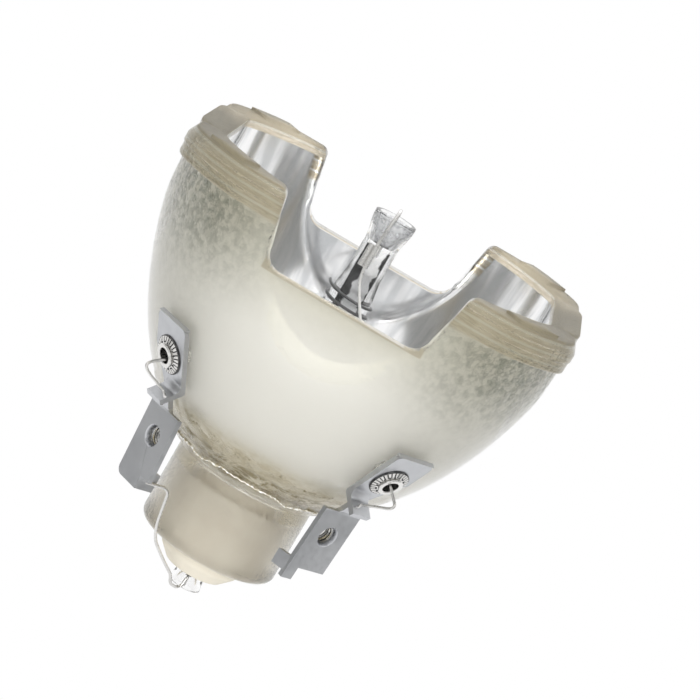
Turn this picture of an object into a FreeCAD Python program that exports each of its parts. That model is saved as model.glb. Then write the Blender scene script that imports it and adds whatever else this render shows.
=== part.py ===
import FreeCAD, Part
import math
import os

# A discharge lamp cemented into a pressed glass reflector.
# The optical axis is Z and the light leaves towards +Z. Z = 0 is the plane of the four rim pads on
# which the lamp seats in its holder. The cooling notches open towards -Y and +Y, and the two
# terminals stand at 45 degrees either side of -Y. Lengths are in millimetres, angles in degrees.

V = FreeCAD.Vector
ORIGIN = V(0, 0, 0)
UP = V(0, 0, 1)

# Reflector rim: a round outline cut by two pairs of flats, in three stepped bands
PAD_HEIGHT = 0.6
PAD_ANGLE = 45.5
PAD_SPAN = 13.0
PAD_INSET = 2.2
RIM_HALF_X = 41.4
RIM_HALF_Y = 39.4
RIM_CORNER_CUT = 7.95
RIM_CORNER_ROUND = 12.0
LIP_HEIGHT = 2.3
LIP_GROWTH = 1.5
SECOND_BAND_HEIGHT = 1.9
SECOND_BAND_GROWTH = 0.9
THIRD_BAND_HEIGHT = 2.4
THIRD_BAND_GROWTH = 0.4
SIDE_FLAT_GROWTH = 1.0
BAND_EDGE_ROUND = 0.6

# Glass bowl: an ellipsoid outside, and an ellipsoidal mirror with flat side walls inside.
# The arc burns in the mirror's first focus.
BOWL_INSET = 4.4
SIDE_WALL = 3.6
FLOOR_WALL = 6.0
MIRROR_DEPTH = 58.5
FOCAL_LENGTH = 15.34
BOWL_FLAT_INSET_Y = 0.3
RIM_LAND_X = 5.1
RIM_LAND_Y = 3.7
BOWL_BLEND = 14.0
MIRROR_BLEND = 10.0

# Cooling notches, cut through the near and the far wall
NOTCH_HALF_WIDTH = 19.9
NOTCH_TAPER = 0.2
NOTCH_DEPTH = 14.85
NOTCH_CORNER = 4.2
NOTCH_LIP_ROUND = 2.0

# Neck
NECK_RADIUS = 15.1
NECK_LENGTH = 17.34
NECK_EDGE_ROUND = 1.8
THROAT_RADIUS = 6.8
CEMENT_BORE_RADIUS = 9.2
CEMENT_BORE_DEPTH = 14.6

# Cement
CEMENT_THROAT_FILL = 3.3
DOME_HEIGHT = 5.8
DOME_INSET = 0.4
DOME_STRAIGHT = 2.6
DOME_SHOULDER = 2.6
DOME_SIDE = 5.3
DOME_SHOULDER_ROUND = 1.5
DOME_FOOT_ROUND = 1.0

# Burner envelope
FRONT_END_Z = -0.6
FRONT_LIP_RADIUS = 4.55
FRONT_LIP_TAPER = 0.1
FRONT_LIP_LENGTH = 1.8
FRONT_WAIST_RADIUS = 3.62
FRONT_FLARE_LENGTH = 5.6
FRONT_WAIST_LENGTH = 7.4
FRONT_STEM_RADIUS = 4.4
STEM_CONE_LENGTH = 5.0
BULB_RADIUS = 6.2
BULB_HALF_LENGTH = 8.2
CHAMBER_RADIUS = 3.9
CHAMBER_HALF_LENGTH = 5.0
REAR_STEM_RADIUS = 2.75
REAR_LIP_RADIUS = 3.55
REAR_FLARE_LENGTH = 4.2
REAR_STUB_LENGTH = 9.1
LIP_WALL = 0.9
FRONT_FUNNEL_DEPTH = 6.0
REAR_FUNNEL_DEPTH = 3.2
FRONT_FUNNEL_FLOOR = 1.9
REAR_FUNNEL_FLOOR = 1.0
LIP_EDGE_ROUND = 0.2
FLARE_ROUND = 3.0
WAIST_ROUND = 6.0

# Electrodes, foils and leads sealed in the quartz
ARC_GAP = 1.4
ELECTRODE_RADIUS = 0.35
ELECTRODE_LENGTH = 13.0
COIL_WIRE_RADIUS = 0.2
COIL_TURNS = 6
COIL_SETBACK = 0.8
COIL_TIGHTNESS = 0.95
FOIL_WIDTH = 3.4
FOIL_THICKNESS = 0.1
FOIL_OVERLAP = 1.6
LEAD_RADIUS = 0.35
LEAD_EMBED = 2.6
LEAD_CREST = 2.1
SEAL_GAP = 0.05

# Crimp sleeve beside the front stem
SLEEVE_LOBE_RADIUS = 0.6
SLEEVE_LOBE_SPACING = 1.05
SLEEVE_LENGTH = 4.8
SLEEVE_DOWN = 6.2
SLEEVE_X = -0.55
SLEEVE_CLEARANCE = 0.38
SLEEVE_INSERTION = 2.0

# Wires
FEED_WIRE_RADIUS = 0.3
IGNITION_WIRE_RADIUS = 0.3
IGNITION_TURNS = 2
IGNITION_PITCH = 2.0
IGNITION_DOWN = 17.6
REAR_WIRE_RADIUS = 0.33
REAR_WIRE_BEARING = 35.5
WRAP_GAP = 0.05
WRAP_STEPS = 9
WRAP_START = 193.0

# Terminals: one folded sheet each
SHEET = 1.1
SHEET_BEND = 0.6
TERMINAL_WIDTH = 9.8
TERMINAL_ANGLE = 45.0
EYELET_ABOVE_NECK = 19.41
PLATE_ABOVE_EYELET = 7.7
PLATE_BELOW_EYELET = 5.9
PLATE_CORNER = 1.0
RELIEF_HEIGHT = 5.6
RELIEF_DROP = 1.2
SHELF_LENGTH = 4.6
SHELF_ANGLE = 38.0
LINK_WIDTH = 1.8
LINK_ROUND = 0.8
BLADE_TOP_DROP = 11.35
BLADE_TILT = 4.5
BLADE_SHORT_LENGTH = 14.0
BLADE_LONG_LENGTH = 16.8
BLADE_STEP = 2.1
BLADE_CORNER = 1.6
GLASS_GAP = 0.05
LEFT_TAB_HEIGHT = 3.9
LEFT_TAB_LENGTH = 4.6
RIGHT_TAB_RISE = 1.3
RIGHT_TAB_HEIGHT = 3.2
RIGHT_TAB_LENGTH = 3.4

# Tapped hole in the blade, with its collar drawn out at the back
SCREW_DROP = 6.0
SCREW_RADIUS = 2.0
SCREW_MOUTH_RADIUS = 2.3
SCREW_MOUTH_DEPTH = 0.3
COLLAR_RADIUS = 2.9
COLLAR_LENGTH = 1.3

# Eyelets and lock washers
EYELET_HEAD_RADIUS = 2.5
EYELET_HEAD_THICKNESS = 0.45
EYELET_ROLL_SHARE = 0.45
EYELET_BORE_RADIUS = 1.6
EYELET_WALL = 0.35
EYELET_TAIL_RADIUS = 2.4
EYELET_TAIL_THICKNESS = 0.35
EYELET_CLEARANCE = 0.2
TAIL_SEAT_GAP = 0.15
WASHER_RADIUS = 3.8
WASHER_THICKNESS = 0.35
WASHER_DISH = 0.5
WASHER_TEETH = 28
WASHER_TOOTH_DEPTH = 1.1
WASHER_GROOVE = 0.25
WASHER_BORE_CLEARANCE = 0.15
HEAD_SEAT_GAP = 0.03


# Places worked out from the sizes above

FACE_Z = -PAD_HEIGHT
RIM_BOTTOM_Z = FACE_Z - LIP_HEIGHT - SECOND_BAND_HEIGHT - THIRD_BAND_HEIGHT
RIM_RADIUS = math.hypot(RIM_HALF_X, RIM_HALF_Y) - RIM_CORNER_CUT
BOWL_RADIUS = RIM_RADIUS - BOWL_INSET
MIRROR_RADIUS = BOWL_RADIUS - SIDE_WALL
MIRROR_HALF_LENGTH = (MIRROR_RADIUS ** 2 / FOCAL_LENGTH + FOCAL_LENGTH) / 2
BOWL_HALF_LENGTH = MIRROR_HALF_LENGTH + FLOOR_WALL
ARC_Z = FACE_Z - MIRROR_DEPTH + FOCAL_LENGTH
BOWL_CENTRE_Z = FACE_Z - MIRROR_DEPTH + MIRROR_HALF_LENGTH
MARGIN = 8.0
OVERRUN = 1.0
TOUCHING = 1e-6
LEVEL_WITHIN = 1e-4


def ellipse_radius(radius, half_length, z):
    return radius * math.sqrt(1 - ((z - BOWL_CENTRE_Z) / half_length) ** 2)


def ellipse_bottom_z(radius, half_length, at_radius):
    return BOWL_CENTRE_Z - half_length * math.sqrt(1 - (at_radius / radius) ** 2)


NECK_TOP_Z = ellipse_bottom_z(BOWL_RADIUS, BOWL_HALF_LENGTH, NECK_RADIUS)
NECK_END_Z = NECK_TOP_Z - NECK_LENGTH
CEMENT_BORE_Z = NECK_END_Z + CEMENT_BORE_DEPTH
REAR_END_Z = NECK_END_Z - REAR_STUB_LENGTH
SLEEVE_TOP_Z = FRONT_END_Z - SLEEVE_DOWN
IGNITION_TOP_Z = FRONT_END_Z - IGNITION_DOWN
EYELET_Z = NECK_TOP_Z + EYELET_ABOVE_NECK
BLADE_TOP_Z = EYELET_Z - BLADE_TOP_DROP
BLADE_SHORT_END_Z = BLADE_TOP_Z - BLADE_SHORT_LENGTH
BLADE_LONG_END_Z = BLADE_TOP_Z - BLADE_LONG_LENGTH
LEFT_TAB_TOP_Z = BLADE_LONG_END_Z + LEFT_TAB_HEIGHT
RIGHT_TAB_TOP_Z = BLADE_LONG_END_Z + RIGHT_TAB_RISE + RIGHT_TAB_HEIGHT
SCREW_Z = BLADE_TOP_Z - SCREW_DROP


def rounded_edges(points, radii):
    """Edges of a closed outline of vectors, with a tangent arc of the given radius at each corner."""
    count = len(points)
    starts, ends, arcs = [], [], []
    for i in range(count):
        corner = points[i]
        back = (points[i - 1] - corner).normalize()
        ahead = (points[(i + 1) % count] - corner).normalize()
        radius = radii[i]
        if radius == 0:
            starts.append(corner)
            ends.append(corner)
            arcs.append(None)
            continue
        half = back.getAngle(ahead) / 2
        reach = radius / math.tan(half)
        middle = (back + ahead).normalize()
        centre = corner + middle * (radius / math.sin(half))
        starts.append(corner + back * reach)
        ends.append(corner + ahead * reach)
        arcs.append(centre - middle * radius)
    edges = []
    for i in range(count):
        if arcs[i] is not None:
            edges.append(Part.Arc(starts[i], arcs[i], ends[i]).toShape())
        following = starts[(i + 1) % count]
        if ends[i].distanceToPoint(following) > TOUCHING:
            edges.append(Part.LineSegment(ends[i], following).toShape())
    return edges


def rounded_face(points, radii):
    return Part.Face(Part.Wire(rounded_edges(points, radii)))


def turned(points, radii=None):
    """A solid of revolution about Z from a closed outline of (radius, z) pairs."""
    outline = [V(r, 0, z) for r, z in points]
    face = rounded_face(outline, radii or [0] * len(outline))
    return face.revolve(ORIGIN, UP, 360)


def box_between(x0, x1, y0, y1, z0, z1):
    return Part.makeBox(x1 - x0, y1 - y0, z1 - z0, V(x0, y0, z0))


def ellipsoid(radius, half_length, centre_z, low_z, high_z):
    """The part of an ellipsoid of revolution that lies between two heights."""
    curve = Part.Ellipse(V(0, 0, centre_z - half_length), V(radius, 0, centre_z), V(0, 0, centre_z))
    start = math.acos(max(-1.0, min(1.0, (centre_z - low_z) / half_length)))
    end = math.acos(max(-1.0, min(1.0, (centre_z - high_z) / half_length)))
    arc = Part.ArcOfEllipse(curve, start, end).toShape()
    low = arc.valueAt(arc.FirstParameter)
    high = arc.valueAt(arc.LastParameter)
    low_axis = V(0, 0, low.z)
    high_axis = V(0, 0, high.z)
    edges = [arc]
    if high.distanceToPoint(high_axis) > TOUCHING:
        edges.append(Part.LineSegment(high, high_axis).toShape())
    edges.append(Part.LineSegment(high_axis, low_axis).toShape())
    if low.distanceToPoint(low_axis) > TOUCHING:
        edges.append(Part.LineSegment(low_axis, low).toShape())
    return Part.Face(Part.Wire(edges)).revolve(ORIGIN, UP, 360)


ARC_SHARE = 0.45


def route_wire(points, radius):
    """A round wire along straight runs joined by tangent arcs, each with its share of the shorter run."""
    edges = []
    last = points[0]
    for before, corner, after in zip(points, points[1:], points[2:]):
        back = (before - corner).normalize()
        ahead = (after - corner).normalize()
        half = back.getAngle(ahead) / 2
        run = min(before.distanceToPoint(corner), corner.distanceToPoint(after))
        reach = ARC_SHARE * run
        bend = reach * math.tan(half)
        middle = (back + ahead).normalize()
        start = corner + back * reach
        end = corner + ahead * reach
        top = corner + middle * (bend / math.sin(half) - bend)
        edges.append(Part.LineSegment(last, start).toShape())
        edges.append(Part.Arc(start, top, end).toShape())
        last = end
    edges.append(Part.LineSegment(last, points[-1]).toShape())
    path = Part.Wire(edges)
    section = Part.Wire(Part.Circle(points[0], points[1] - points[0], radius).toShape())
    return path.makePipeShell([section], True, False)


# Reflector

def corner_point(centre, angle):
    """A point on a rim corner's round, at the given angle about its centre."""
    return centre + V(RIM_CORNER_ROUND * math.cos(angle), RIM_CORNER_ROUND * math.sin(angle), 0)


def rim_outline(growth, side_growth, z):
    """A circle cut by two pairs of flats, with each corner between them rounded."""
    radius = RIM_RADIUS + growth
    half_x = RIM_HALF_X + side_growth
    half_y = RIM_HALF_Y + growth
    reach = radius - RIM_CORNER_ROUND
    side = V(half_x - RIM_CORNER_ROUND, 0, z)
    side.y = math.sqrt(reach ** 2 - side.x ** 2)
    front = V(0, half_y - RIM_CORNER_ROUND, z)
    front.x = math.sqrt(reach ** 2 - front.y ** 2)
    edges = []
    side_turn = math.atan2(side.y, side.x)
    front_turn = math.atan2(front.y, front.x)
    middle = (side_turn + front_turn) / 2
    flat_end = V(half_x, side.y, z)
    front_end = V(front.x, half_y, z)
    on_side = corner_point(side, side_turn)
    on_front = corner_point(front, front_turn)
    on_round = V(radius * math.cos(middle), radius * math.sin(middle), z)
    near_side = corner_point(side, side_turn / 2)
    near_front = corner_point(front, (front_turn + math.pi / 2) / 2)
    quarter = [Part.LineSegment(V(half_x, 0, z), flat_end).toShape(),
               Part.Arc(flat_end, near_side, on_side).toShape(),
               Part.Arc(on_side, on_round, on_front).toShape(),
               Part.Arc(on_front, near_front, front_end).toShape(),
               Part.LineSegment(front_end, V(0, half_y, z)).toShape()]
    for x_sign, y_sign in ((1, 1), (-1, 1), (-1, -1), (1, -1)):
        for edge in quarter:
            if x_sign < 0:
                edge = edge.mirror(ORIGIN, V(1, 0, 0))
            if y_sign < 0:
                edge = edge.mirror(ORIGIN, V(0, 1, 0))
            edges.append(edge)
    return Part.Wire(Part.__sortEdges__(edges))


def level_edges(shape, heights):
    """The edges of a shape that lie flat at one of the given heights."""
    found = []
    for edge in shape.Edges:
        box = edge.BoundBox
        if box.ZLength < LEVEL_WITHIN and any(abs(box.ZMin - z) < LEVEL_WITHIN for z in heights):
            found.append(edge)
    return found


def rolled_band(low_outline, high_outline):
    """A band of the rim between two outlines, with its outer edges rolled."""
    band = Part.makeLoft([low_outline, high_outline], True, True)
    heights = (low_outline.BoundBox.ZMin, high_outline.BoundBox.ZMin)
    return band.makeFillet(BAND_EDGE_ROUND, level_edges(band, heights))


def rim():
    second_top = FACE_Z - LIP_HEIGHT
    third_top = second_top - SECOND_BAND_HEIGHT
    second_side = (LIP_GROWTH + SIDE_FLAT_GROWTH) / 2
    lip = rolled_band(rim_outline(LIP_GROWTH, LIP_GROWTH, second_top), rim_outline(0, 0, FACE_Z))
    second = rolled_band(rim_outline(SECOND_BAND_GROWTH, second_side, third_top),
                         rim_outline(SECOND_BAND_GROWTH, second_side, second_top + BAND_EDGE_ROUND))
    third = rolled_band(rim_outline(THIRD_BAND_GROWTH, SIDE_FLAT_GROWTH, RIM_BOTTOM_Z),
                        rim_outline(THIRD_BAND_GROWTH, SIDE_FLAT_GROWTH, third_top + BAND_EDGE_ROUND))
    return lip.fuse([second, third])


def rim_pads():
    face = Part.Face(rim_outline(-BAND_EDGE_ROUND, -BAND_EDGE_ROUND, FACE_Z))
    slab = face.extrude(V(0, 0, PAD_HEIGHT))
    inner = Part.makeCylinder(MIRROR_RADIUS + PAD_INSET, PAD_HEIGHT, V(0, 0, FACE_Z))
    slab = slab.cut(inner)
    pads = []
    for centre in (PAD_ANGLE, 180 - PAD_ANGLE, 180 + PAD_ANGLE, 360 - PAD_ANGLE):
        wedge = Part.makeCylinder(RIM_RADIUS + MARGIN, PAD_HEIGHT, V(0, 0, FACE_Z), UP, PAD_SPAN)
        wedge.rotate(ORIGIN, UP, centre - PAD_SPAN / 2)
        pads.append(slab.common(wedge))
    return pads


def flattened(body, half_x, half_y, low_z, high_z, blend):
    """Cuts two pairs of flats on a body of revolution and blends them into it."""
    cut = body.common(box_between(-half_x, half_x, -half_y, half_y, low_z, high_z))
    edges = []
    for edge in cut.Edges:
        box = edge.BoundBox
        on_side = box.XLength < LEVEL_WITHIN and abs(abs(box.XMin) - half_x) < LEVEL_WITHIN
        on_front = box.YLength < LEVEL_WITHIN and abs(abs(box.YMin) - half_y) < LEVEL_WITHIN
        if (on_side or on_front) and box.ZLength > LEVEL_WITHIN:
            edges.append(edge)
    return cut.makeFillet(blend, edges)


def bowl_outside():
    bowl = ellipsoid(BOWL_RADIUS, BOWL_HALF_LENGTH, BOWL_CENTRE_Z, NECK_TOP_Z, FACE_Z)
    half_x = RIM_HALF_X + SIDE_FLAT_GROWTH
    half_y = RIM_HALF_Y - BOWL_FLAT_INSET_Y
    bowl = flattened(bowl, half_x, half_y, NECK_TOP_Z - OVERRUN, FACE_Z, BOWL_BLEND)
    inside_z = NECK_TOP_Z + MARGIN
    neck = turned([(0, inside_z), (NECK_RADIUS, inside_z), (NECK_RADIUS, NECK_END_Z), (0, NECK_END_Z)],
                  [0, 0, NECK_EDGE_ROUND, 0])
    return bowl.fuse(neck)


def mirror_space():
    """Everything that is hollow inside the glass: mirror, throat and cement bore."""
    throat_z = ellipse_bottom_z(MIRROR_RADIUS, MIRROR_HALF_LENGTH, THROAT_RADIUS)
    space = ellipsoid(MIRROR_RADIUS, MIRROR_HALF_LENGTH, BOWL_CENTRE_Z, throat_z, OVERRUN)
    half_x = RIM_HALF_X - RIM_LAND_X
    half_y = RIM_HALF_Y - RIM_LAND_Y
    space = flattened(space, half_x, half_y, throat_z - OVERRUN, OVERRUN, MIRROR_BLEND)
    throat = Part.makeCylinder(THROAT_RADIUS, throat_z + OVERRUN - NECK_END_Z, V(0, 0, NECK_END_Z))
    bore_foot = NECK_END_Z - OVERRUN
    bore = Part.makeCylinder(CEMENT_BORE_RADIUS, CEMENT_BORE_Z - bore_foot, V(0, 0, bore_foot))
    return space.fuse([throat, bore])


def notch_cutter():
    floor_z = FACE_Z - NOTCH_DEPTH
    top_z = OVERRUN
    floor_half = NOTCH_HALF_WIDTH - NOTCH_TAPER * NOTCH_DEPTH
    side = NOTCH_HALF_WIDTH
    out = side + 2 * NOTCH_LIP_ROUND
    outline = [(-out, top_z), (-out, FACE_Z), (-side, FACE_Z), (-floor_half, floor_z),
               (floor_half, floor_z), (side, FACE_Z), (out, FACE_Z), (out, top_z)]
    radii = [0, 0, NOTCH_LIP_ROUND, NOTCH_CORNER, NOTCH_CORNER, NOTCH_LIP_ROUND, 0, 0]
    reach = RIM_RADIUS + MARGIN
    face = rounded_face([V(x, -reach, z) for x, z in outline], radii)
    return face.extrude(V(0, 2 * reach, 0))


# Terminals are drawn in their own frame: X is the side towards -Y, Y points away from the axis and Z up.
# The frame of the left one is mirrored, so both are drawn alike.

def bowl_slope(z):
    """Angle by which the bowl's outward normal points below the horizontal."""
    radius = ellipse_radius(BOWL_RADIUS, BOWL_HALF_LENGTH, z)
    return math.atan2((BOWL_CENTRE_Z - z) / BOWL_HALF_LENGTH ** 2, radius / BOWL_RADIUS ** 2)


SLOPE = bowl_slope(EYELET_Z)
EYELET_FOOT = V(0, ellipse_radius(BOWL_RADIUS, BOWL_HALF_LENGTH, EYELET_Z), EYELET_Z)
EYELET_AXIS = V(0, math.cos(SLOPE), -math.sin(SLOPE))
PLATE_DOWN = V(0, -math.sin(SLOPE), -math.cos(SLOPE))


def on_plate(height, across=0.0, down=0.0):
    """A point above the bowl at the eyelet, measured along the plate's normal and its length."""
    return EYELET_FOOT + EYELET_AXIS * height + PLATE_DOWN * down + V(across, 0, 0)


HALVINGS = 60


def glass_thickness_at_eyelet():
    """Distance along the eyelet's axis from the bowl's outside to the mirror."""
    low, high = 0.0, 3 * SIDE_WALL + FLOOR_WALL
    for _ in range(HALVINGS):
        middle = (low + high) / 2
        point = on_plate(-middle)
        if point.y > ellipse_radius(MIRROR_RADIUS, MIRROR_HALF_LENGTH, point.z):
            low = middle
        else:
            high = middle
    return low


GLASS_AT_EYELET = glass_thickness_at_eyelet()


def to_place(shape, side):
    """Turns a shape from a terminal's own frame to the left (-1) or right (+1) terminal's place."""
    placed = shape.copy()
    if side < 0:
        placed = placed.mirror(ORIGIN, V(1, 0, 0))
    placed.rotate(ORIGIN, UP, 180 + side * TERMINAL_ANGLE)
    return placed


def place_point(point, side):
    turn = FreeCAD.Rotation(UP, 180 + side * TERMINAL_ANGLE)
    return turn.multVec(V(side * point.x, point.y, point.z))


def folded_strip(face_line, x0, x1):
    """A sheet whose outer face follows the given (y, z) line, with its thickness towards the axis."""
    points = [V(0, y, z) for y, z in face_line]
    back = []
    for i, point in enumerate(points):
        normals = []
        if i > 0:
            run = (point - points[i - 1]).normalize()
            normals.append(V(0, run.z, -run.y))
        if i < len(points) - 1:
            run = (points[i + 1] - point).normalize()
            normals.append(V(0, run.z, -run.y))
        total = normals[0] if len(normals) == 1 else (normals[0] + normals[1]).normalize()
        back.append(point + total * (SHEET / total.dot(normals[0])))
    outline = points + back[::-1]
    radii = [0] * len(outline)
    for i in range(1, len(points) - 1):
        run = points[i] - points[i - 1]
        following = points[i + 1] - points[i]
        opens_outward = run.cross(following).x < 0
        radii[i] = SHEET_BEND if opens_outward else SHEET_BEND + SHEET
        radii[len(outline) - 1 - i] = SHEET_BEND + SHEET if opens_outward else SHEET_BEND
    face = rounded_face(outline, radii)
    face.translate(V(x0, 0, 0))
    return face.extrude(V(x1 - x0, 0, 0))


PLATE_FACE = GLASS_GAP + SHEET
FOLD = on_plate(PLATE_FACE, 0, PLATE_BELOW_EYELET)
TILT = math.radians(BLADE_TILT)
INTO_BLADE = V(0, -math.cos(TILT), math.sin(TILT))


def blade_point(z):
    """A point on the blade's outer face at the given height."""
    start = on_plate(PLATE_FACE)
    bend_y = start.y - (start.z - BLADE_TOP_Z) * math.tan(SLOPE)
    return (bend_y - (BLADE_TOP_Z - z) * math.tan(TILT), z)


def relief_cutters(half):
    """What is cut away beside the narrow link: a slant on one side, all below the shelf on the other."""
    reach = BOWL_RADIUS + MARGIN
    side = LINK_WIDTH / 2
    top_z = FOLD.z + RELIEF_HEIGHT
    slanted = [V(-half - OVERRUN, 0, top_z), V(-half, 0, top_z), V(-side, 0, FOLD.z - RELIEF_DROP),
               V(-side, 0, BLADE_TOP_Z), V(-half - OVERRUN, 0, BLADE_TOP_Z)]
    slant = rounded_face(slanted, [0, 0, LINK_ROUND, LINK_ROUND, 0]).extrude(V(0, reach, 0))
    below = [V(side, 0, FOLD.z), V(half + OVERRUN, 0, FOLD.z), V(half + OVERRUN, 0, BLADE_TOP_Z),
             V(side, 0, BLADE_TOP_Z)]
    return [slant, rounded_face(below, [0, 0, 0, LINK_ROUND]).extrude(V(0, reach, 0))]


def shelf(half):
    """The half of the plate that is folded outward, for the wire to be welded on."""
    run = SHELF_LENGTH * math.cos(math.radians(SHELF_ANGLE))
    drop = SHELF_LENGTH * math.sin(math.radians(SHELF_ANGLE))
    start = on_plate(PLATE_FACE)
    return folded_strip([(start.y, start.z), (FOLD.y, FOLD.z), (FOLD.y + run, FOLD.z - drop)], 0, half)


def terminal_blank():
    """The folded strip with its narrow link, its shelf and its tapped hole, common to both sides."""
    half = TERMINAL_WIDTH / 2
    top = on_plate(PLATE_FACE, 0, -PLATE_ABOVE_EYELET)
    line = [(top.y, top.z), blade_point(BLADE_TOP_Z), blade_point(BLADE_LONG_END_Z)]
    strip = folded_strip(line, -half, half).cut(relief_cutters(half)).fuse(shelf(half))
    on_face = V(0, blade_point(SCREW_Z)[0], SCREW_Z)
    collar_foot = on_face + INTO_BLADE * (SHEET / 2)
    collar = Part.makeCylinder(COLLAR_RADIUS, SHEET / 2 + COLLAR_LENGTH, collar_foot, INTO_BLADE)
    hole_length = SHEET + COLLAR_LENGTH + 2 * OVERRUN
    hole = Part.makeCylinder(SCREW_RADIUS, hole_length, on_face - INTO_BLADE * OVERRUN, INTO_BLADE)
    widest = 2 * SCREW_MOUTH_RADIUS - SCREW_RADIUS
    mouth_foot = on_face - INTO_BLADE * SCREW_MOUTH_DEPTH
    mouth = Part.makeCone(widest, SCREW_RADIUS, 2 * SCREW_MOUTH_DEPTH, mouth_foot, INTO_BLADE)
    rivet_radius = EYELET_BORE_RADIUS + EYELET_WALL + EYELET_CLEARANCE
    rivet_hole = Part.makeCylinder(rivet_radius, SHEET + 2 * OVERRUN, on_plate(-OVERRUN), EYELET_AXIS)
    return strip.fuse(collar).cut([hole, mouth, rivet_hole])


def sheet_corner_cutter(x, z, x_sign, z_sign, radius):
    """What a rounded corner of a sheet loses, seen along the terminal's Y."""
    corner = V(x, 0, z)
    near = V(x - x_sign * radius, 0, z)
    far = V(x, 0, z - z_sign * radius)
    diagonal = V(-x_sign, 0, -z_sign) * (radius * (1 - 1 / math.sqrt(2)))
    edges = [Part.LineSegment(near, corner).toShape(), Part.LineSegment(corner, far).toShape(),
             Part.Arc(far, corner + diagonal, near).toShape()]
    return Part.Face(Part.Wire(edges)).extrude(V(0, BOWL_RADIUS + MARGIN, 0))


def top_corners(half):
    top_z = on_plate(PLATE_FACE, 0, -PLATE_ABOVE_EYELET).z
    return [sheet_corner_cutter(-half, top_z, -1, 1, PLATE_CORNER),
            sheet_corner_cutter(half, top_z, 1, 1, PLATE_CORNER)]


def left_terminal():
    """Long on its outer side, where the end is round. A tab is folded in at the step, for a wire."""
    half = TERMINAL_WIDTH / 2
    reach = BOWL_RADIUS + MARGIN
    end_z = BLADE_LONG_END_Z - OVERRUN
    short = box_between(BLADE_STEP, half + OVERRUN, 0, reach, end_z, BLADE_SHORT_END_Z)
    end = sheet_corner_cutter(-half, BLADE_LONG_END_Z, -1, -1, BLADE_CORNER)
    body = terminal_blank().cut(top_corners(half) + [short, end])
    face_y = blade_point(BLADE_LONG_END_Z)[0]
    tab = box_between(BLADE_STEP - SHEET, BLADE_STEP, face_y - LEFT_TAB_LENGTH, face_y - SHEET / 2,
                      BLADE_LONG_END_Z, LEFT_TAB_TOP_Z)
    return body.fuse(tab).removeSplitter()


def right_terminal():
    """Long on its inner side, with an open tab folded in from that edge."""
    half = TERMINAL_WIDTH / 2
    reach = BOWL_RADIUS + MARGIN
    end_z = BLADE_LONG_END_Z - OVERRUN
    short = box_between(-half - OVERRUN, BLADE_STEP, 0, reach, end_z, BLADE_SHORT_END_Z)
    body = terminal_blank().cut(top_corners(half) + [short])
    tab_foot_z = RIGHT_TAB_TOP_Z - RIGHT_TAB_HEIGHT
    face_y = blade_point(tab_foot_z)[0]
    end_y = face_y - RIGHT_TAB_LENGTH
    outline = [V(half - SHEET, face_y - SHEET, tab_foot_z), V(half, face_y - SHEET / 2, tab_foot_z),
               V(half + SHEET, end_y, tab_foot_z), V(half, end_y, tab_foot_z)]
    tab = rounded_face(outline, [0] * 4).extrude(V(0, 0, RIGHT_TAB_HEIGHT))
    return body.fuse(tab).removeSplitter()


# Eyelets and lock washers, turned about the eyelet's axis

def along_eyelet(shape):
    """Moves a shape drawn on the Z axis so that its Z = 0 lies on the terminal's outer face."""
    placed = shape.copy()
    placed.rotate(ORIGIN, V(1, 0, 0), -90 - math.degrees(SLOPE))
    placed.translate(on_plate(PLATE_FACE))
    return placed


def eyelet():
    barrel = EYELET_BORE_RADIUS + EYELET_WALL
    head_z = WASHER_DISH + WASHER_THICKNESS + HEAD_SEAT_GAP
    top_z = head_z + EYELET_HEAD_THICKNESS
    tail_z = -PLATE_FACE - GLASS_AT_EYELET - TAIL_SEAT_GAP
    end_z = tail_z - EYELET_TAIL_THICKNESS
    outline = [(EYELET_BORE_RADIUS, top_z), (EYELET_HEAD_RADIUS, top_z), (EYELET_HEAD_RADIUS, head_z),
               (barrel, head_z), (barrel, tail_z), (EYELET_TAIL_RADIUS, tail_z),
               (EYELET_TAIL_RADIUS, end_z), (EYELET_BORE_RADIUS, end_z)]
    roll = EYELET_ROLL_SHARE * EYELET_HEAD_THICKNESS
    return along_eyelet(turned(outline, [roll, roll, roll, 0, 0, 0, 0, 0]))


def lock_washer():
    """A dome that stands on its outer edge and carries the eyelet's head on its inner one."""
    inner = EYELET_BORE_RADIUS + EYELET_WALL + WASHER_BORE_CLEARANCE
    inner_top = WASHER_DISH + WASHER_THICKNESS
    ring = turned([(inner, WASHER_DISH), (WASHER_RADIUS, 0), (WASHER_RADIUS, WASHER_THICKNESS),
                   (inner, inner_top)])
    grooves = []
    for i in range(WASHER_TEETH):
        groove = box_between(WASHER_RADIUS - WASHER_TOOTH_DEPTH, WASHER_RADIUS + OVERRUN,
                             -WASHER_GROOVE / 2, WASHER_GROOVE / 2, -OVERRUN, inner_top + OVERRUN)
        groove.rotate(ORIGIN, UP, 360 * i / WASHER_TEETH)
        grooves.append(groove)
    return along_eyelet(ring.cut(grooves))


def reflector():
    hole_radius = EYELET_BORE_RADIUS + EYELET_WALL + EYELET_CLEARANCE
    depth = GLASS_AT_EYELET + MARGIN
    hole = Part.makeCylinder(hole_radius, depth, on_plate(OVERRUN), EYELET_AXIS * -1)
    cutters = [mirror_space(), notch_cutter(), to_place(hole, -1), to_place(hole, 1)]
    glass = bowl_outside().fuse(rim()).cut(cutters)
    return glass.fuse(rim_pads()).removeSplitter()


# Burner

FOIL_FRONT_Z = FRONT_END_Z - FRONT_FUNNEL_DEPTH - LEAD_EMBED + FOIL_OVERLAP
FOIL_REAR_Z = REAR_END_Z + REAR_FUNNEL_DEPTH + LEAD_EMBED - FOIL_OVERLAP
LEAD_Y = ELECTRODE_RADIUS - LEAD_RADIUS


def electrode_tip(sign):
    return ARC_Z + sign * ARC_GAP / 2


def electrode_root(sign):
    return electrode_tip(sign) + sign * ELECTRODE_LENGTH


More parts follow.
